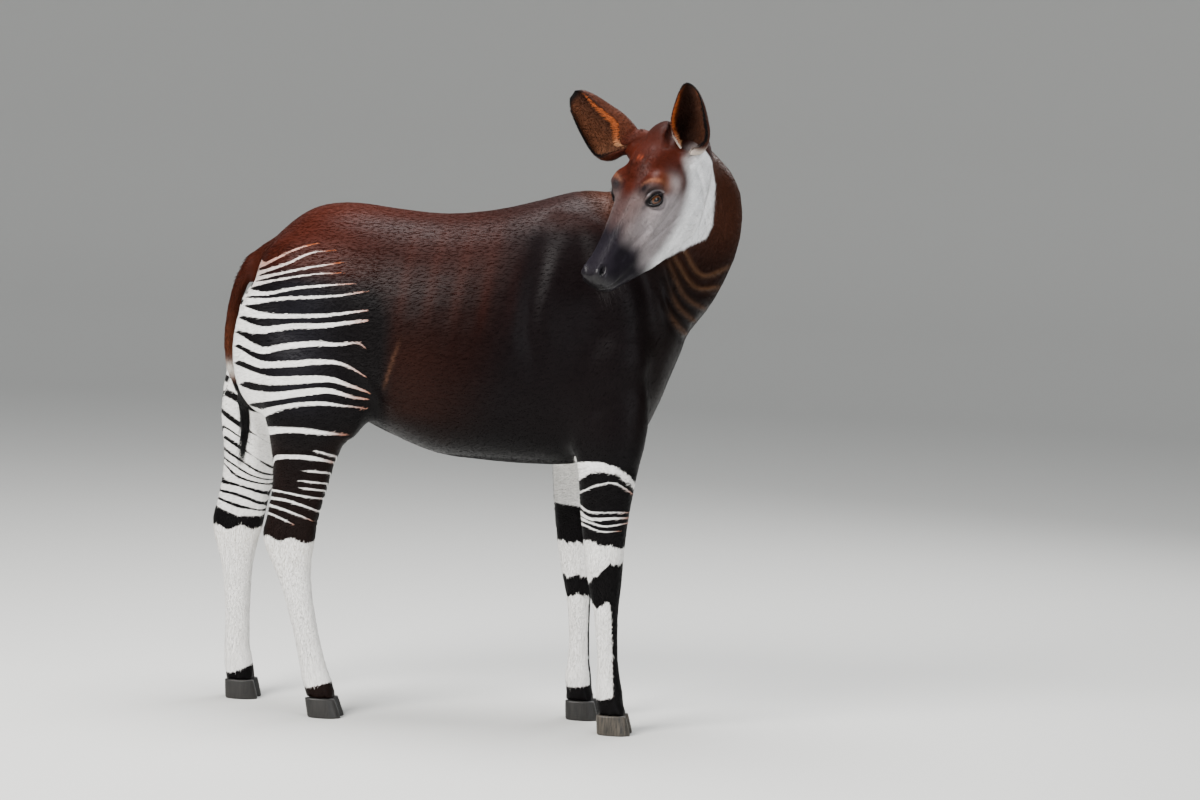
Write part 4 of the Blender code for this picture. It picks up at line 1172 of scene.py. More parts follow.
def lie_of_hair(points, normal, rng):
    """Direction in which the hair lies on the surface."""
    head, neck, legs, tail = regions(points)
    x, _, z = points.T
    flow = np.zeros_like(points)
    flow[:, 0] = -1.0
    flow[:, 2] = -0.25 - 1.1 * step(1.30, 0.95, z) * (np.abs(x - 0.1) > 0.28)
    down = (-0.10, 0.0, -1.0)
    banded = np.where(x < -0.15, step(0.50, 0.56, z) * step(-0.15, -0.22, x),
                      step(0.52, 0.57, z) * step(0.82, 0.76, z))
    _, l, u = head_frame(points)
    away = unit(points - head_point(0.150, 0.0, 0.044) - np.outer(l * 0.6, HEAD_L))
    away += np.outer(step(0.0, -0.12, u) * 0.8, HEAD_S * -0.5 - HEAD_U * 0.8)
    flow = overlay(flow, (
        (down, legs),
        ((-1.0, 0.0, -0.12), banded),
        (down, tail),
        (along_line(points, NECK_LINE)[1], neck),
        (away, head),
    ))
    flow = unit(flow - normal * (flow * normal).sum(1)[:, None])
    turn = rng.normal(0, STRAY, len(points))[:, None]
    return unit(flow * np.cos(turn) + np.cross(normal, flow) * np.sin(turn))


def bake_map(mesh, roots, outward, corners, axis, margin):
    """UV map OFBake: each tuft a small patch at its root's place on a turned-out sleeve of the skin."""
    low, high = roots[:, axis].min() - margin, roots[:, axis].max() + margin
    span = np.clip((roots[:, axis] - low) / (high - low), 0, 1)
    first, second = (k for k in range(3) if k != axis)
    turn = np.arctan2(outward[:, first], outward[:, second]) / (2 * math.pi) + 0.5
    home = np.stack([0.01 + 0.975 * turn, 0.01 + 0.975 * span], 1)
    layer = mesh.uv_layers.new(name="OFBake")
    layer.data.foreach_set("uv", (home[:, None] + corners[None] * 0.003).astype(np.float32).ravel())


def hair_mesh(name, verts, faces, corners, outward, roots, colour, axis, margin=0.0):
    """Many like hairs as one mesh: verts is (count, places, 3); faces and UV corners are one hair's."""
    count, places = verts.shape[:2]
    faces = np.array(faces)
    rows = (faces[None] + places * np.arange(count)[:, None, None]).reshape(-1, 3)
    mesh = bpy.data.meshes.new(name)
    mesh.vertices.add(count * places)
    mesh.vertices.foreach_set("co", (verts.reshape(-1, 3) - CENTRE).ravel())
    mesh.loops.add(rows.size)
    mesh.loops.foreach_set("vertex_index", rows.ravel())
    mesh.polygons.add(len(rows))
    mesh.polygons.foreach_set("loop_start", np.arange(len(rows)) * 3)
    mesh.update(calc_edges=True)
    attribute(mesh, "hair", "FLOAT_COLOR", np.repeat(colour, places, 0))
    bake_map(mesh, roots, outward, np.array(corners)[faces.ravel()], axis, margin)
    mesh.shade_smooth()
    return link(name, mesh)


BLADE_FACES = ((0, 1, 3), (0, 3, 2), (0, 2, 1), (4, 3, 1), (4, 2, 3), (4, 1, 2))
BLADE_UV = ((0.5, 0.0), (0.2, 0.45), (0.8, 0.45), (0.5, 0.45), (0.5, 1.0))


def blades(name, root, normal, lie, length, width, lift, colour, rng, axis, bury=0.0007):
    """Closed flat spindles, one for each root, as one mesh."""
    across = np.cross(lie, normal)
    middle = root + lie * (length * 0.42)[:, None] + normal * (lift * 0.62)[:, None]
    half = (width * 0.5)[:, None]
    sway = (rng.normal(0, 0.06, len(root)) * length)[:, None]
    tip = root + lie * length[:, None] + normal * lift[:, None] + across * sway
    verts = np.stack([
        root - normal * bury,
        middle - across * half - normal * half * 0.15,
        middle + across * half - normal * half * 0.15,
        middle + normal * half * 0.34,
        tip,
    ], 1)
    return hair_mesh(name, verts, BLADE_FACES, BLADE_UV, normal, root, colour, axis)


def hair_colour(points, rng):
    tone = coat_tone(points)
    head = regions(points)[0]
    fine, coarse = (np.array([noise.noise(Vector(row)) for row in points * scale]) for scale in (55.0,
                                                                                                 21.0))
    tone = tone * np.exp((0.30 * fine + 0.30 * coarse) * (0.45 + 0.55 * head))[:, None]
    tone = whiten(points, tone, rng)
    return tone * np.exp(rng.normal(0, 0.12, len(points)))[:, None]


def hair_sizes(points, settings, rng):
    """Length, width and lift of each tuft, shortest on face and feet."""
    head, neck, legs, tail = regions(points)
    z = points[:, 2]
    s, _, u = head_frame(points)
    face = settings.face_length * (1 + 0.35 * step(-0.10, -0.18, u)) * (1 - 0.45 * step(0.34, 0.46, s))
    for side in (-1, 1):
        face = face * (1 - 0.4 * bump(eye_distance(points, side), 0.0, 0.042))
    length = settings.trunk_length * (1 - 0.22 * step(1.2, 0.9, z)) * (1 - 0.25 * step(0.10, 0.30,
                                                                                       points[:, 0]))
    length = lerp(length, settings.leg_length * (1 - 0.25 * step(0.2, 0.08, z)), legs)
    for local, weight in ((0.015, neck), (face, head), (0.014, tail)):
        length = lerp(length, local, weight)
    length = length * rng.uniform(0.7, 1.2, len(points))
    width = length * rng.uniform(0.060, 0.098, len(points))
    lift = 0.0010 * (1 - 0.42 * head - 0.20 * legs - 0.25 * tail) * rng.uniform(0.5, 1.25, len(points))
    return length, width, lift


def grow(name, weight, count, settings, seed, axis, slot):
    """One coat piece on the part of the skin where the weight is above zero."""
    mesh = bpy.data.objects["skin"].data
    rng = np.random.default_rng(seed)
    root, normal = scatter(mesh, weight[triangles(mesh)].mean(1), count, rng)[:2]
    lie = lie_of_hair(root, normal, rng)
    length, width, lift = hair_sizes(root, settings, rng)
    colour = hair_colour(root + lie * (length * 0.45)[:, None], rng)
    obj = blades(name, root, normal, lie, length, width, lift, colour, rng, axis)
    obj.data.materials.append(hair_material("coat_hair"))
    return settle(obj, slot)


def growing_room(points):
    """Where hair may grow: not on the nose pad, in the nostrils, on the lid rims or behind the eyes."""
    s, _, u = head_frame(points)
    head = regions(points)[0]
    room = 1 - step(0.470, 0.492, s) * head * step(-0.085, -0.070, u)
    for side in (-1, 1):
        a, b, c = eye_space(points, side)
        room = room * (1 - (almond(a, b, 0.0030) < 1.0) * (c > 0) * (eye_distance(points, side) < EYE_REACH))
        room = room * step(0.006, 0.009, along_line(points, head_line(NOSTRIL, side))[0])
    return room * (points[:, 2] > 0.0585)


def strands(name, paths, radii, colour, material):
    """Tapered three-sided hairs along given paths: paths is (count, steps, 3), radii (count, steps)."""
    count, steps = paths.shape[:2]
    ahead = unit(paths[:, -1] - paths[:, 0])
    guide = np.where(np.abs(ahead[:, 2:3]) > 0.9, np.array((1.0, 0, 0))[None], np.array((0, 0, 1.0))[None])
    first = unit(np.cross(ahead, guide))
    second = np.cross(ahead, first)
    angles = (np.arange(3) * 2 * math.pi / 3)[None, :, None]
    ring = first[:, None, :] * np.cos(angles) + second[:, None, :] * np.sin(angles)
    verts = paths[:, :, None, :] + ring[:, None, :, :] * radii[:, :, None, None]
    faces = []
    for low in range(0, (steps - 1) * 3, 3):
        for k in range(3):
            here, after = low + k, low + (k + 1) % 3
            faces += [(here, after, after + 3), (here, after + 3, here + 3)]
    end = (steps - 1) * 3
    faces += [(2, 1, 0), (end, end + 1, end + 2)]
    corners = [(0.2 + 0.2 * (v % 3), (v // 3) / (steps - 1)) for v in range(steps * 3)]
    roots = paths[:, 0]
    obj = hair_mesh(name, verts.reshape(count, steps * 3, 3), faces, corners, unit(roots - roots.mean(0)),
                    roots,
                    colour, 2, 0.001)
    obj.data.materials.append(material)
    return obj


# ears

def ear_frame(side):
    direction, opening, root, length, bulge, width = EARS[side]
    axis = np.array(direction) / np.linalg.norm(direction)
    face = np.array(opening) - axis * (np.array(opening) @ axis)
    face = face / np.linalg.norm(face)
    base = head_point(*root) + axis * 0.026
    across = np.cross(axis, face)
    outward = across * np.sign(across @ (head_point(*root) - head_point(root[0], 0, 0)))
    return base, axis, face, outward, length, bulge, width


def ear_place(side, t, a, inset=0.0):
    """Place on the ear: t from root to tip, a from the outer margin (0) round to the inner margin (1)."""
    base, axis, face, outward, length, bulge, width = ear_frame(side)
    rows = spline(EAR_ROWS, 40)
    tt = np.clip(t, 0, 1)
    half = np.interp(tt, rows[:, 0], rows[:, 1]) * width - 0.0025 - inset
    deep = np.interp(tt, rows[:, 0], rows[:, 2]) - 0.0025 - inset
    half, deep = np.maximum(half, 0.0025), np.maximum(deep, 0.002)
    sunk = np.clip(-t / 0.14, 0, 1)
    narrowing, turn = EAR_SHEETS[side][:2]
    half = half * (1 - narrowing * sunk)
    closing = step(0.30, 0.02, t)
    wrap_out = np.radians(turn + 52 * closing - 22 * step(0.7, 1.0, t))
    wrap_in = np.radians(34 + 46 * closing - 26 * step(0.7, 1.0, t))
    angle = wrap_out + (-math.pi - wrap_in - wrap_out) * a
    centre = (base[None] + np.outer(length * t, axis) + np.outer(0.020 * t * t, face)
              + np.outer(bulge * np.maximum(np.sin(math.pi * np.sqrt(tt)), 0) - 0.016 * sunk, outward)
              - np.outer(0.010 * sunk, face))
    return centre + np.outer(half * np.cos(angle), outward) + np.outer(deep * np.sin(angle), face)


def ear_colour(side, t, a, inner):
    """Brown back, black rim, dark hollow and orange fringe."""
    right = side == "right"
    tone = mix(EAR_BROWN, (0.045, 0.014, 0.008), step(0.3, 0.8, t) * 0.6)
    front = step(0.42, 0.05, t) * step(0.42, 0.10, a)
    fringe = step(0.16, 0.03, np.abs(a - 0.90)) * step(0.97, 0.80, t)
    hollow = overlay(mix(EAR_INSIDE, (0.028, 0.011, 0.007), bump(a, 0.62, 0.20) * 0.85), (
        ((0.25, 0.115, 0.060), front * (0.7 if right else 0.0)),
        (ORANGE, fringe * 0.85),
    ))
    if not right:
        hollow = mix(hollow, (0.020, 0.008, 0.005), 0.55 * step(0.2, 0.5, a))
        hollow = mix(hollow, ORANGE, 0.9 * step(0.11, 0.05, np.abs(a - 0.17)) * step(0.92, 0.80, t))
    tone = np.where(inner[:, None], hollow, tone)
    rim = np.maximum(step(0.075, 0.02, a) * step(0.06, 0.2, t),
                     step(0.030, 0.008, 1 - a) * step(0.4, 0.7, t))
    tone = mix(tone, BLACK, np.maximum(rim, step(0.88, 0.965, t)))
    base = step(0.16, 0.02, t) * np.where(inner, 0.3 if right else 0.0, 0.9)
    return mix(tone, FOREHEAD if right else (0.62, 0.54, 0.48), base)


def build_ear(side):
    """A leaf rolled into a cup, with a thin wall and its root sunk in the skin."""
    bm = bmesh.new()
    bmesh.ops.create_grid(bm, x_segments=46, y_segments=40, size=0.5)
    flat = np.array([v.co for v in bm.verts])
    start, reach = EAR_SHEETS[side][2:]
    t = start + reach * (flat[:, 1] + 0.5)
    a = flat[:, 0] + 0.5
    walls = ear_place(side, t, a), ear_place(side, t, a, inset=0.0040)
    made = bmesh.ops.duplicate(bm, geom=bm.faces[:] + bm.verts[:] + bm.edges[:])
    bm.verts.index_update()
    sheet = np.arange(len(bm.verts))
    inside = sheet >= len(flat)
    for vert in bm.verts:
        if inside[vert.index]:
            sheet[vert.index] = made["vert_map"][vert].index
        vert.co = walls[int(inside[vert.index])][sheet[vert.index]] - CENTRE
    bmesh.ops.bridge_loops(bm, edges=[e for e in bm.edges if e.is_boundary])
    bmesh.ops.recalc_face_normals(bm, faces=bm.faces)
    ear = new_piece("ear_%s_cup" % side, bm)
    t, a = t[sheet], a[sheet]
    attribute(ear.data, "hair", "FLOAT_COLOR", ear_colour(side, t, a, inside))
    attribute(ear.data, "root_to_tip", "FLOAT", t)
    attribute(ear.data, "round", "FLOAT", a)
    attribute(ear.data, "inside", "FLOAT", inside.astype(float))
    ear.data.materials.append(hair_material("ear_velvet", 0.6, 0.10))
    return settle(ear, "ear_coat", "ear_" + side)


def vertex_values(mesh, name):
    rows = np.empty(len(mesh.vertices), np.float32)
    mesh.attributes[name].data.foreach_get("value", rows)
    return rows


def ear_hair(side, settings, seed):
    """Velvet on both faces and long fringes on the margins."""
    rng = np.random.default_rng(seed)
    mesh = bpy.data.objects["ear_%s_cup" % side].data
    count = settings.ear_tufts
    values = [vertex_values(mesh, name) for name in ("root_to_tip", "round", "inside")]
    share = values[0][triangles(mesh)].mean(1) > -0.05
    root, rise, corners, weights = scatter(mesh, share, count, rng, even=False)
    t, around, inner = ((rows[corners] * weights).sum(1) for rows in values)
    inner = inner > 0.5
    axis, face, outward = ear_frame(side)[1:4]
    margin = np.where(around < 0.5, -1.0, 1.0) * step(0.30, 0.02, np.minimum(around, 1 - around))
    ahead = ear_place(side, t, np.clip(around + 0.01, 0, 1)) - ear_place(side, t,
                                                                         np.clip(around - 0.01, 0, 1))
    flow = axis[None] + unit(ahead) * margin[:, None] * 0.8
    flow = flow + rng.normal(0, 0.12, flow.shape)
    flow = unit(flow - rise * (flow * rise).sum(1)[:, None])
    length = np.where(inner, 0.011, 0.009) * rng.uniform(0.7, 1.3, count)
    length = np.minimum(length, 0.0012 + 0.07 * np.clip(0.985 - t, 0, 1))
    lift = np.minimum(np.where(inner, 0.0030, 0.0016) * rng.uniform(0.5, 1.2, count), 0.3 * length)
    colour = ear_colour(side, t, around, inner) * np.exp(rng.normal(0, 0.22, count))[:, None]
    obj = blades("ear_%s_velvet" % side, root, rise, flow, length, length * 0.11, lift, colour, rng, 2,
                 0.0004)
    obj.data.materials.append(hair_material("ear_hair", 0.55, 0.12))
    settle(obj, "ear_coat")

    number = EAR_FRINGE
    t = rng.uniform(0.03, 0.965, number)
    inner = rng.random(number) < 0.62
    around = np.where(inner, 1 - 0.10 * rng.random(number) ** 2, 0.03 * rng.random(number))
    root = ear_place(side, t, around, 0.0020)
    nearby = ear_place(side, t, np.clip(np.where(inner, around - 0.03, around + 0.03), 0, 1), 0.0020)
    reach = np.where(inner, 0.019, 0.0080) * rng.uniform(0.6, 1.3, number) * np.clip(1.9 - 1.9 * t, 0.12, 1)
    inward = face[None] * 0.2 - outward[None] * np.where(inner, -0.75, 0.1)[:, None]
    course = unit(unit(root - nearby) * np.where(inner, 0.25, 1.0)[:, None] + inward + axis[None] * 0.55
                  + rng.normal(0, 0.16, (number, 3)))
    steps = np.linspace(0, 1, 4)
    bend = axis[None] * 0.25
    paths = root[:, None] + (course * reach[:, None])[:, None] * steps[None, :, None] \
        + (bend * reach[:, None])[:, None] * (steps ** 2)[None, :, None]
    radii = np.outer(np.full(number, 0.00060), 1 - 0.90 * steps)
    shade = overlay(np.where(inner[:, None], np.array(ORANGE), np.array(BLACK)), (
        (BLACK, step(0.72, 0.92, t) * inner),
        ((0.50, 0.30, 0.16), 0.70 * step(0.17, 0.03, t) * inner),
    ))
    shade = shade * np.exp(rng.normal(0, 0.25, number))[:, None]
    settle(strands("ear_%s_fringe" % side, paths, radii, shade, hair_material("ear_hair", 0.55, 0.12)),
           "ear_coat")


# eyes, hooves, tassel, whiskers

def build_eye(side, label, radius):
    out, along, up = eye_axes(side)
    bm = bmesh.new()
    turn = Matrix((Vector(along), Vector(up), Vector(out))).transposed().to_4x4()
    bmesh.ops.create_uvsphere(bm, u_segments=64, v_segments=40, radius=radius - 0.0002)
    gaze = unit(np.array([v.co for v in bm.verts]))
    for vert in bm.verts:
        if vert.co.z > radius * 0.80:
            vert.co.z += 0.0009 * (vert.co.z / radius - 0.80) / 0.20
    bmesh.ops.transform(bm, matrix=Matrix.Translation(eye_centre(side) - CENTRE) @ turn, verts=bm.verts)
    bmesh.ops.recalc_face_normals(bm, faces=bm.faces)
    eye = new_piece("eyeball_" + label, bm)
    attribute(eye.data, "gaze", "FLOAT_VECTOR", gaze)
    eye.data.materials.append(bpy.data.materials.get("eye_wet") or eye_material())
    return settle(eye, "eye", "eye_" + label)


def build_rim(side, label, radius):
    """Dark moist rim of the lids, a thin roll along the almond slit."""
    out, along, up = eye_axes(side)
    centre = eye_centre(side)
    bm = bmesh.new()
    steps = 56
    sections = []
    for k in range(steps):
        angle = 2 * math.pi * k / steps
        c, s = math.cos(angle), math.sin(angle)
        a = SLIT_LONG * math.copysign(abs(c) ** (2 / 1.7), c)
        b = (SLIT_UP if s > 0 else SLIT_LOW) * s
        flat = math.hypot(a, b)
        c_out = math.sqrt(max((radius + 0.0012) ** 2 - flat ** 2, 0))
        sections.append(centre + along * a + up * b + out * c_out)
    roll = 0.0018
    for k in range(steps):
        here = sections[k]
        ahead = Vector(sections[(k + 1) % steps] - sections[k - 1]).normalized()
        away = Vector(here - centre).normalized()
        side_way = ahead.cross(away).normalized()
        place = Matrix((side_way, away, ahead)).transposed().to_4x4()
        place.translation = Vector(here - CENTRE)
        bmesh.ops.create_circle(bm, segments=10, radius=roll, matrix=place)
    bmesh.ops.bridge_loops(bm, edges=bm.edges[:], use_cyclic=True, use_pairs=False)
    bmesh.ops.recalc_face_normals(bm, faces=bm.faces)
    rim = new_piece("lid_rim_" + label, bm)
    rim.data.materials.append(bpy.data.materials.get("lid_rim") or rim_material())
    return settle(rim, "head_coat")


def leg_at(foot, z):
    rows = np.array(LEG_LINES[foot])[::-1]
    return np.array((np.interp(z, rows[:, 0], rows[:, 1]), np.interp(z, rows[:, 0], rows[:, 2])))


def build_hoof(foot):
    """Two horn claws with growth rings, flat below and sunk into the coronet above."""
    top, toe = leg_at(foot, 0.050), leg_at(foot, 0.0)
    bm = bmesh.new()
    for sign, claw in ((-1, "a"), (1, "b")):
        low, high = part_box("hoof_%s_%s" % (foot, claw))
        made = bmesh.ops.create_cone(bm, cap_ends=True, segments=40, radius1=1.0, radius2=1.0, depth=1.0)
        geom = [part for vert in made["verts"] for part in (vert, *vert.link_edges, *vert.link_faces)]
        for k in range(1, HOOF_RINGS):
            cut = bmesh.ops.bisect_plane(bm, geom=list(dict.fromkeys(geom)), dist=1e-7,
                                         plane_co=(0, 0, -0.5 + k / HOOF_RINGS), plane_no=(0, 0, 1))
            geom = cut["geom"] + cut["geom_cut"]
        verts = [part for part in dict.fromkeys(geom) if isinstance(part, bmesh.types.BMVert)]
        middle_y = 0.5 * (low.y + high.y)
        wide = 0.5 * (high.y - low.y) - 0.0006
        for vert in verts:
            f = 0.5 - vert.co.z
            c, s = vert.co.x, vert.co.y
            half = 0.0405 + 0.0057 * f ** 0.8
            ring = 1 + 0.012 * math.sin(f * 44) * (0.1 < f < 0.95)
            round_off = 1 - 0.05 * max(0.0, (f - 0.90) / 0.10) ** 2
            x = half * math.copysign(abs(c) ** 0.9, c) * ring * round_off
            point = 1 - 0.38 * max(0.0, c) ** 3 * f
            y = wide * (0.86 + 0.14 * f) * math.copysign(abs(s) ** 0.8, s) * point * ring * round_off
            lean = top[0] * (1 - f) + toe[0] * f - CENTRE[0]
            y += middle_y - sign * 0.003 * max(0.0, c) ** 2 * f
            vert.co = Vector((lean + x, y, HOOF_HEIGHT * (1 - f)))
    bmesh.ops.recalc_face_normals(bm, faces=bm.faces)
    hoof = new_piece("hoof_" + foot, bm)
    name, dark, light = HORN["pale" if foot == "fore_right" else "dark"]
    hoof.data.materials.append(bpy.data.materials.get(name) or horn_material(name, dark, light))
    return settle(hoof, "hoof", "hoof_%s_a" % foot, "hoof_%s_b" % foot)


def build_tassel(seed):
    """Black tassel of loose straight hairs at the tail's end."""
    rng = np.random.default_rng(seed)
    number = TASSEL_HAIRS
    spine = np.array(((-0.6265, 0.0, 0.885), (-0.6215, 0.0, 0.852), (-0.612, 0.0, 0.820),
                      (-0.609, 0.0, 0.770),
                      (-0.613, 0.0, 0.720), (-0.619, 0.0, 0.670)))
    curve = spline(spine, 60)
    start = rng.beta(1.1, 1.7, number) * 0.62
    finish = np.clip(start + rng.uniform(0.25, 0.55, number), 0, 1.0)
    angle = rng.uniform(0, 2 * math.pi, number)
    spread = 0.0095 * np.sqrt(rng.random(number))
    steps = np.linspace(0, 1, 6)
    at = start[:, None] + (finish - start)[:, None] * steps[None]
    body = np.stack([np.interp(at, np.linspace(0, 1, 60), curve[:, k]) for k in range(3)], 2)
    out = np.stack([np.cos(angle), np.sin(angle), np.zeros(number)], 1)
    swell = (0.55 + 0.75 * np.sin(math.pi * np.clip(at, 0, 1) ** 0.8)) * (1 - 0.35 * steps[None])
    paths = body + out[:, None] * (spread[:, None] * swell)[:, :, None]
    paths += rng.normal(0, 0.0007, paths.shape)
    flare = rng.normal(0, 0.0065, (number, 1, 3)) * (1, 1, 0.3)
    paths += flare * (steps ** 1.6)[None, :, None]
    radii = np.outer(np.full(number, 0.0006), (1 - 0.85 * steps)) * rng.uniform(0.7, 1.2, number)[:, None]
    colour = np.tile(BLACK, (number, 1)) * np.exp(rng.normal(0.3, 0.35, number))[:, None]
    obj = strands("tail_tassel", paths, radii, colour, hair_material("tassel_hair", 0.40, 0.2))
    return settle(obj, "tail_hair", "tail_tuft")


def build_whiskers(seed):
    """Stiff whiskers on lips and chin, and lashes on the upper lids."""
    rng = np.random.default_rng(seed)
    roots, courses, sizes, thick = [], [], [], []
    for _ in range(WHISKERS):
        side = rng.choice((-1, 1))
        s, l = rng.uniform(0.425, 0.495), side * rng.uniform(0.0, 0.030)
        roots.append(head_point(s, l, rng.uniform(-0.112, -0.088)))
        courses.append(-HEAD_U * 0.9 + HEAD_S * rng.uniform(0.1, 0.7) + HEAD_L * rng.normal(0, 0.35))
        sizes.append(rng.uniform(0.018, 0.045))
        thick.append(0.00028)
    for side in (-1, 1):
        out, along, up = eye_axes(side)
        for k in range(LASHES):
            a = -0.017 + 0.034 * (k + rng.random()) / LASHES
            b = SLIT_UP * (1 - abs(a / SLIT_LONG) ** 1.7) ** 0.5 + 0.0006
            c = math.sqrt(max(0.0236 ** 2 - a * a - b * b, 0))
            roots.append(eye_centre(side) + along * a + up * b + out * c)
            courses.append(out * 0.9 + up * 0.30 - along * (0.25 - 12 * a) + HEAD_U * -0.1)
            sizes.append(rng.uniform(0.007, 0.0105))
            thick.append(0.00026)
    roots, courses = np.array(roots), unit(np.array(courses))
    sizes = np.array(sizes)
    steps = np.linspace(0, 1, 5)
    sag = np.tile(-HEAD_U * 0.18 + HEAD_S * 0.10, (len(roots), 1))
    paths = roots[:, None] + courses[:, None] * (sizes[:, None] * steps[None])[:, :, None] \
        + sag[:, None] * (sizes[:, None] * steps[None] ** 2)[:, :, None]
    radii = np.array(thick)[:, None] * (1 - 0.85 * steps)[None]
    colour = np.tile((0.035, 0.030, 0.030), (len(roots), 1))
    obj = strands("whiskers", paths, radii, colour, hair_material("whisker_hair", 0.35, 0.4))
    return settle(obj, "head_coat")


# operators

class OKAPI_OT_skin(bpy.types.Operator):
    """Cover the flesh with one skin, with lids, mouth, nostrils and neck folds"""
    bl_idname = "okapi.skin"
    bl_label = "Skin"

    def execute(self, context):
        build_skin(context.scene.okapi_skin)
        return {"FINISHED"}


class OKAPI_OT_eyes(bpy.types.Operator):
    """Set both eyeballs and the rims of their lids"""
    bl_idname = "okapi.eyes"
    bl_label = "Eyes"

    def execute(self, context):
        radius = context.scene.okapi_skin.eye_radius
        for side, label in ((-1, "right"), (1, "left")):
            build_eye(side, label, radius)
            build_rim(side, label, radius)
        return {"FINISHED"}


class OKAPI_OT_ears(bpy.types.Operator):
    """Roll both ears, with velvet and fringes"""
    bl_idname = "okapi.ears"
    bl_label = "Ears"

    def execute(self, context):
        for seed, side in enumerate(("right", "left")):
            build_ear(side)
            ear_hair(side, context.scene.okapi_coat, 40 + seed)
        return {"FINISHED"}


class OKAPI_OT_hooves(bpy.types.Operator):
    """Make the claws of the four feet"""
    bl_idname = "okapi.hooves"
    bl_label = "Hooves"

    def execute(self, context):
        for foot in FEET:
            build_hoof(foot)
        return {"FINISHED"}


class OKAPI_OT_tassel(bpy.types.Operator):
    """Hang the tassel at the tail's end"""
    bl_idname = "okapi.tassel"
    bl_label = "Tail tassel"

    def execute(self, context):
        build_tassel(7)
        return {"FINISHED"}


class OKAPI_OT_whiskers(bpy.types.Operator):
    """Plant whiskers and lashes"""
    bl_idname = "okapi.whiskers"
    bl_label = "Whiskers"

    def execute(self, context):
        build_whiskers(8)
        return {"FINISHED"}


class OKAPI_OT_trunk_coat(bpy.types.Operator):
    """Grow the coat of trunk, haunches, neck and tail"""
    bl_idname = "okapi.trunk_coat"
    bl_label = "Trunk coat"

    def execute(self, context):
        settings = context.scene.okapi_coat
        co = skin_places()
        head, neck, _, tail = regions(co)
        room = growing_room(co)
        trunk = (head < 0.5) & (neck < 0.5) & (tail < 0.5) & (co[:, 2] >= LEG_COAT_TOP)
        dense = 1 + 0.9 * (co[:, 0] < -0.18) * (co[:, 2] < 1.3)
        left = co[:, 1] > 0
        for name, weight, count, seed, axis in (
                ("coat_trunk_right", dense * (trunk & ~left), settings.trunk_tufts, 11, 0),
                ("coat_trunk_left", dense * (trunk & left), settings.trunk_tufts, 12, 0),
                ("coat_neck", (neck >= 0.5) & (head < 0.5), settings.neck_tufts, 13, 2),
                ("coat_tail", tail >= 0.5, TAIL_TUFTS, 14, 2)):
            grow(name, room * weight, count, settings, seed, axis, "body_coat")
        return {"FINISHED"}


class OKAPI_OT_leg_coat(bpy.types.Operator):
    """Grow the coat of the four legs"""
    bl_idname = "okapi.leg_coat"
    bl_label = "Leg coat"

    def execute(self, context):
        settings = context.scene.okapi_coat
        co = skin_places()
        room = growing_room(co) * (regions(co)[3] < 0.5) * (co[:, 2] <= LEG_COAT_TOP)
        for k, foot in enumerate(FEET):
            fore = (co[:, 0] > 0) == foot.startswith("fore")
            left = (co[:, 1] > 0) == foot.endswith("left")
            grow("coat_" + foot, room * fore * left, settings.leg_tufts, settings, 21 + k, 2, "leg_coat")
        return {"FINISHED"}


class OKAPI_OT_head_coat(bpy.types.Operator):
    """Grow the short coat of the head"""
    bl_idname = "okapi.head_coat"
    bl_label = "Head coat"

    def execute(self, context):
        settings = context.scene.okapi_coat
        co = skin_places()
        room = growing_room(co) * (regions(co)[0] >= 0.5)
        left = head_frame(co)[1] > 0
        for name, half, seed in (("coat_head_right", ~left, 31), ("coat_head_left", left, 32)):
            grow(name, room * half, settings.head_tufts, settings, seed, 2, "head_coat")
        return {"FINISHED"}


def area_light(name, place, target, size, energy, colour=(1, 1, 1)):
    light = bpy.data.lights.new(name, "AREA")
    light.shape = "DISK"
    light.size = size
    light.energy = energy
    light.color = colour
    obj = link(name, light)
    obj.location = place
    obj.rotation_euler = (Vector(target) - Vector(place)).to_track_quat("-Z", "Y").to_euler()


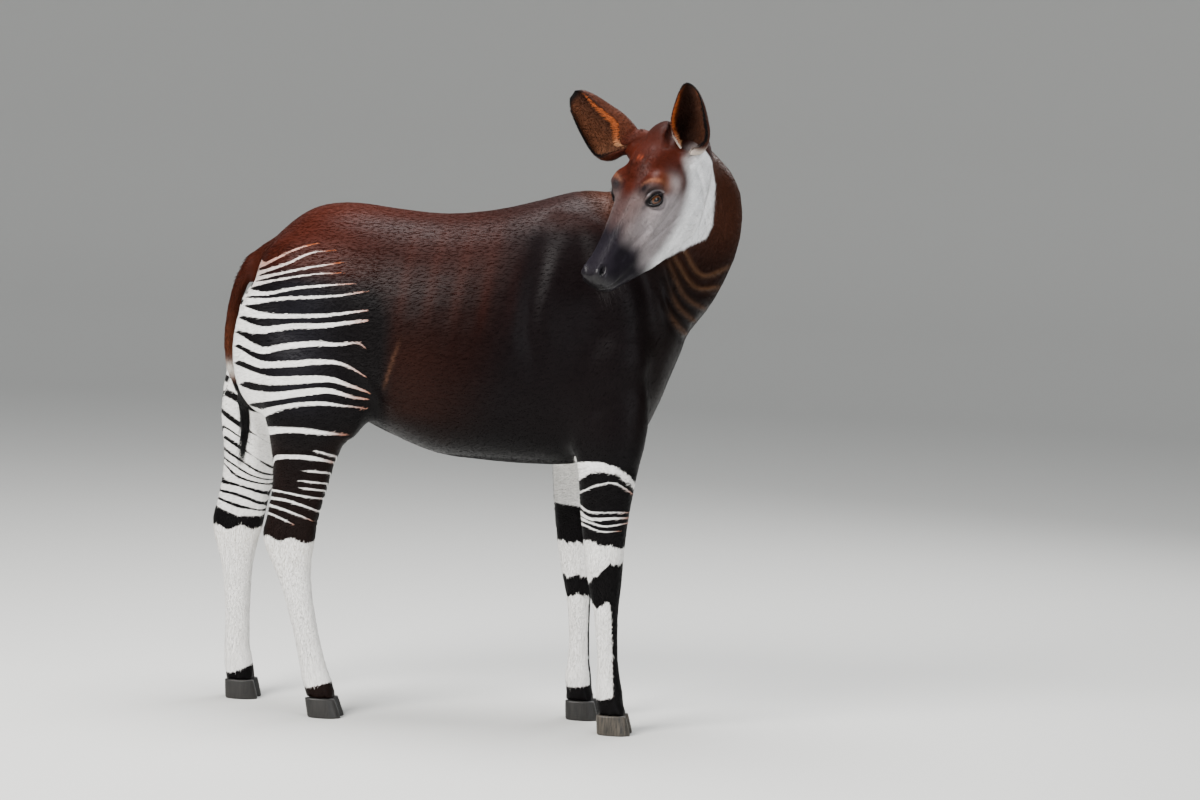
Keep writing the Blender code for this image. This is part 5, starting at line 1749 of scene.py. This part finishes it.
class OKAPI_OT_stage(bpy.types.Operator):
    """Lay the floor, light the room softly and place the camera"""
    bl_idname = "okapi.stage"
    bl_label = "Stage"

    def execute(self, context):
        settings = context.scene.okapi_stage
        bm = bmesh.new()
        profile = [bm.verts.new(place) for place in ((0, 0, 0), (11, 0, 0), (13.5, 0, 0.35), (15.2, 0, 1.5),
                                                     (16.0, 0, 3.4), (16.2, 0, 8.0))]
        edges = [bm.edges.new(pair) for pair in zip(profile, profile[1:])]
        bmesh.ops.spin(bm, geom=profile + edges, axis=(0, 0, 1), cent=(0, 0, 0), angle=2 * math.pi,
                       steps=96,
                       use_merge=True)
        bmesh.ops.remove_doubles(bm, verts=bm.verts, dist=1e-5)
        bmesh.ops.recalc_face_normals(bm, faces=bm.faces)
        if sum(face.normal.z for face in bm.faces) < 0:
            bmesh.ops.reverse_faces(bm, faces=bm.faces)
        floor = new_piece("floor", bm)
        floor.data.materials.append(principled("floor_matt", tuple(settings.floor), 0.9)[0])

        world = bpy.data.worlds.new("room")
        bpy.context.scene.world = world
        world.use_nodes = True
        background = world.node_tree.nodes["Background"]
        background.inputs["Color"].default_value = (0.86, 0.89, 0.93, 1)
        background.inputs["Strength"].default_value = 0.45
        area_light("key", (-2.6, -4.2, 4.6), (0.0, 0.0, 0.9), 2.6, 760, (1.0, 0.98, 0.95))
        area_light("fill", (4.4, -4.6, 2.4), (0.3, 0.0, 1.0), 3.5, 150, (0.93, 0.96, 1.0))
        area_light("top", (0.2, 0.4, 5.0), (0.0, 0.0, 0.8), 3.0, 380)
        area_light("rim", (2.0, 4.4, 3.4), (0.2, 0.0, 1.2), 2.5, 90)

        target = np.array(CAMERA_TARGET)
        tilt = math.asin((settings.height - target[2]) / settings.distance)
        back = np.array((math.sin(settings.azimuth) * math.cos(tilt),
                         -math.cos(settings.azimuth) * math.cos(tilt),
                         math.sin(tilt)))
        right = np.cross(-back, (0, 0, 1))
        right = right / np.linalg.norm(right)
        upright = np.cross(right, -back)
        tipped = right * math.cos(settings.roll) + upright * math.sin(settings.roll)
        up = -right * math.sin(settings.roll) + upright * math.cos(settings.roll)
        camera = bpy.data.cameras.new("camera")
        camera.lens = settings.lens
        camera.sensor_width = 36.0
        camera.clip_end = 200.0
        obj = link("camera", camera)
        matrix = Matrix((Vector(tipped), Vector(up), Vector(back))).transposed().to_4x4()
        matrix.translation = Vector(target + back * settings.distance - CENTRE)
        obj.matrix_world = matrix
        bpy.context.scene.camera = obj
        return {"FINISHED"}


STEPS = (OKAPI_OT_skin, OKAPI_OT_eyes, OKAPI_OT_ears, OKAPI_OT_hooves, OKAPI_OT_tassel, OKAPI_OT_whiskers,
         OKAPI_OT_trunk_coat, OKAPI_OT_leg_coat, OKAPI_OT_head_coat, OKAPI_OT_stage)


class OKAPI_PT_panel(bpy.types.Panel):
    """Sidebar panel with every step"""
    bl_idname = "OKAPI_PT_panel"
    bl_label = "Okapi"
    bl_space_type = "VIEW_3D"
    bl_region_type = "UI"
    bl_category = "Okapi"

    def draw(self, context):
        for group in (context.scene.okapi_skin, context.scene.okapi_coat, context.scene.okapi_stage):
            box = self.layout.box()
            for name in group.bl_rna.properties.keys():
                if name not in ("rna_type", "name"):
                    box.prop(group, name)
        for operator in STEPS:
            self.layout.operator(operator.bl_idname)


CLASSES = (OkapiSkinSettings, OkapiCoatSettings, OkapiStageSettings, *STEPS, OKAPI_PT_panel)


def register():
    for cls in CLASSES:
        bpy.utils.register_class(cls)
    bpy.types.Scene.okapi_skin = bpy.props.PointerProperty(type=OkapiSkinSettings)
    bpy.types.Scene.okapi_coat = bpy.props.PointerProperty(type=OkapiCoatSettings)
    bpy.types.Scene.okapi_stage = bpy.props.PointerProperty(type=OkapiStageSettings)


def unregister():
    del bpy.types.Scene.okapi_stage
    del bpy.types.Scene.okapi_coat
    del bpy.types.Scene.okapi_skin
    for cls in reversed(CLASSES):
        bpy.utils.unregister_class(cls)


def main():
    register()
    bpy.ops.okapi.skin()
    bpy.ops.okapi.eyes()
    bpy.ops.okapi.ears()
    bpy.ops.okapi.hooves()
    bpy.ops.okapi.tassel()
    bpy.ops.okapi.whiskers()
    bpy.ops.okapi.trunk_coat()
    bpy.ops.okapi.leg_coat()
    bpy.ops.okapi.head_coat()
    bpy.ops.okapi.stage()


if __name__ == "__main__":
    main()
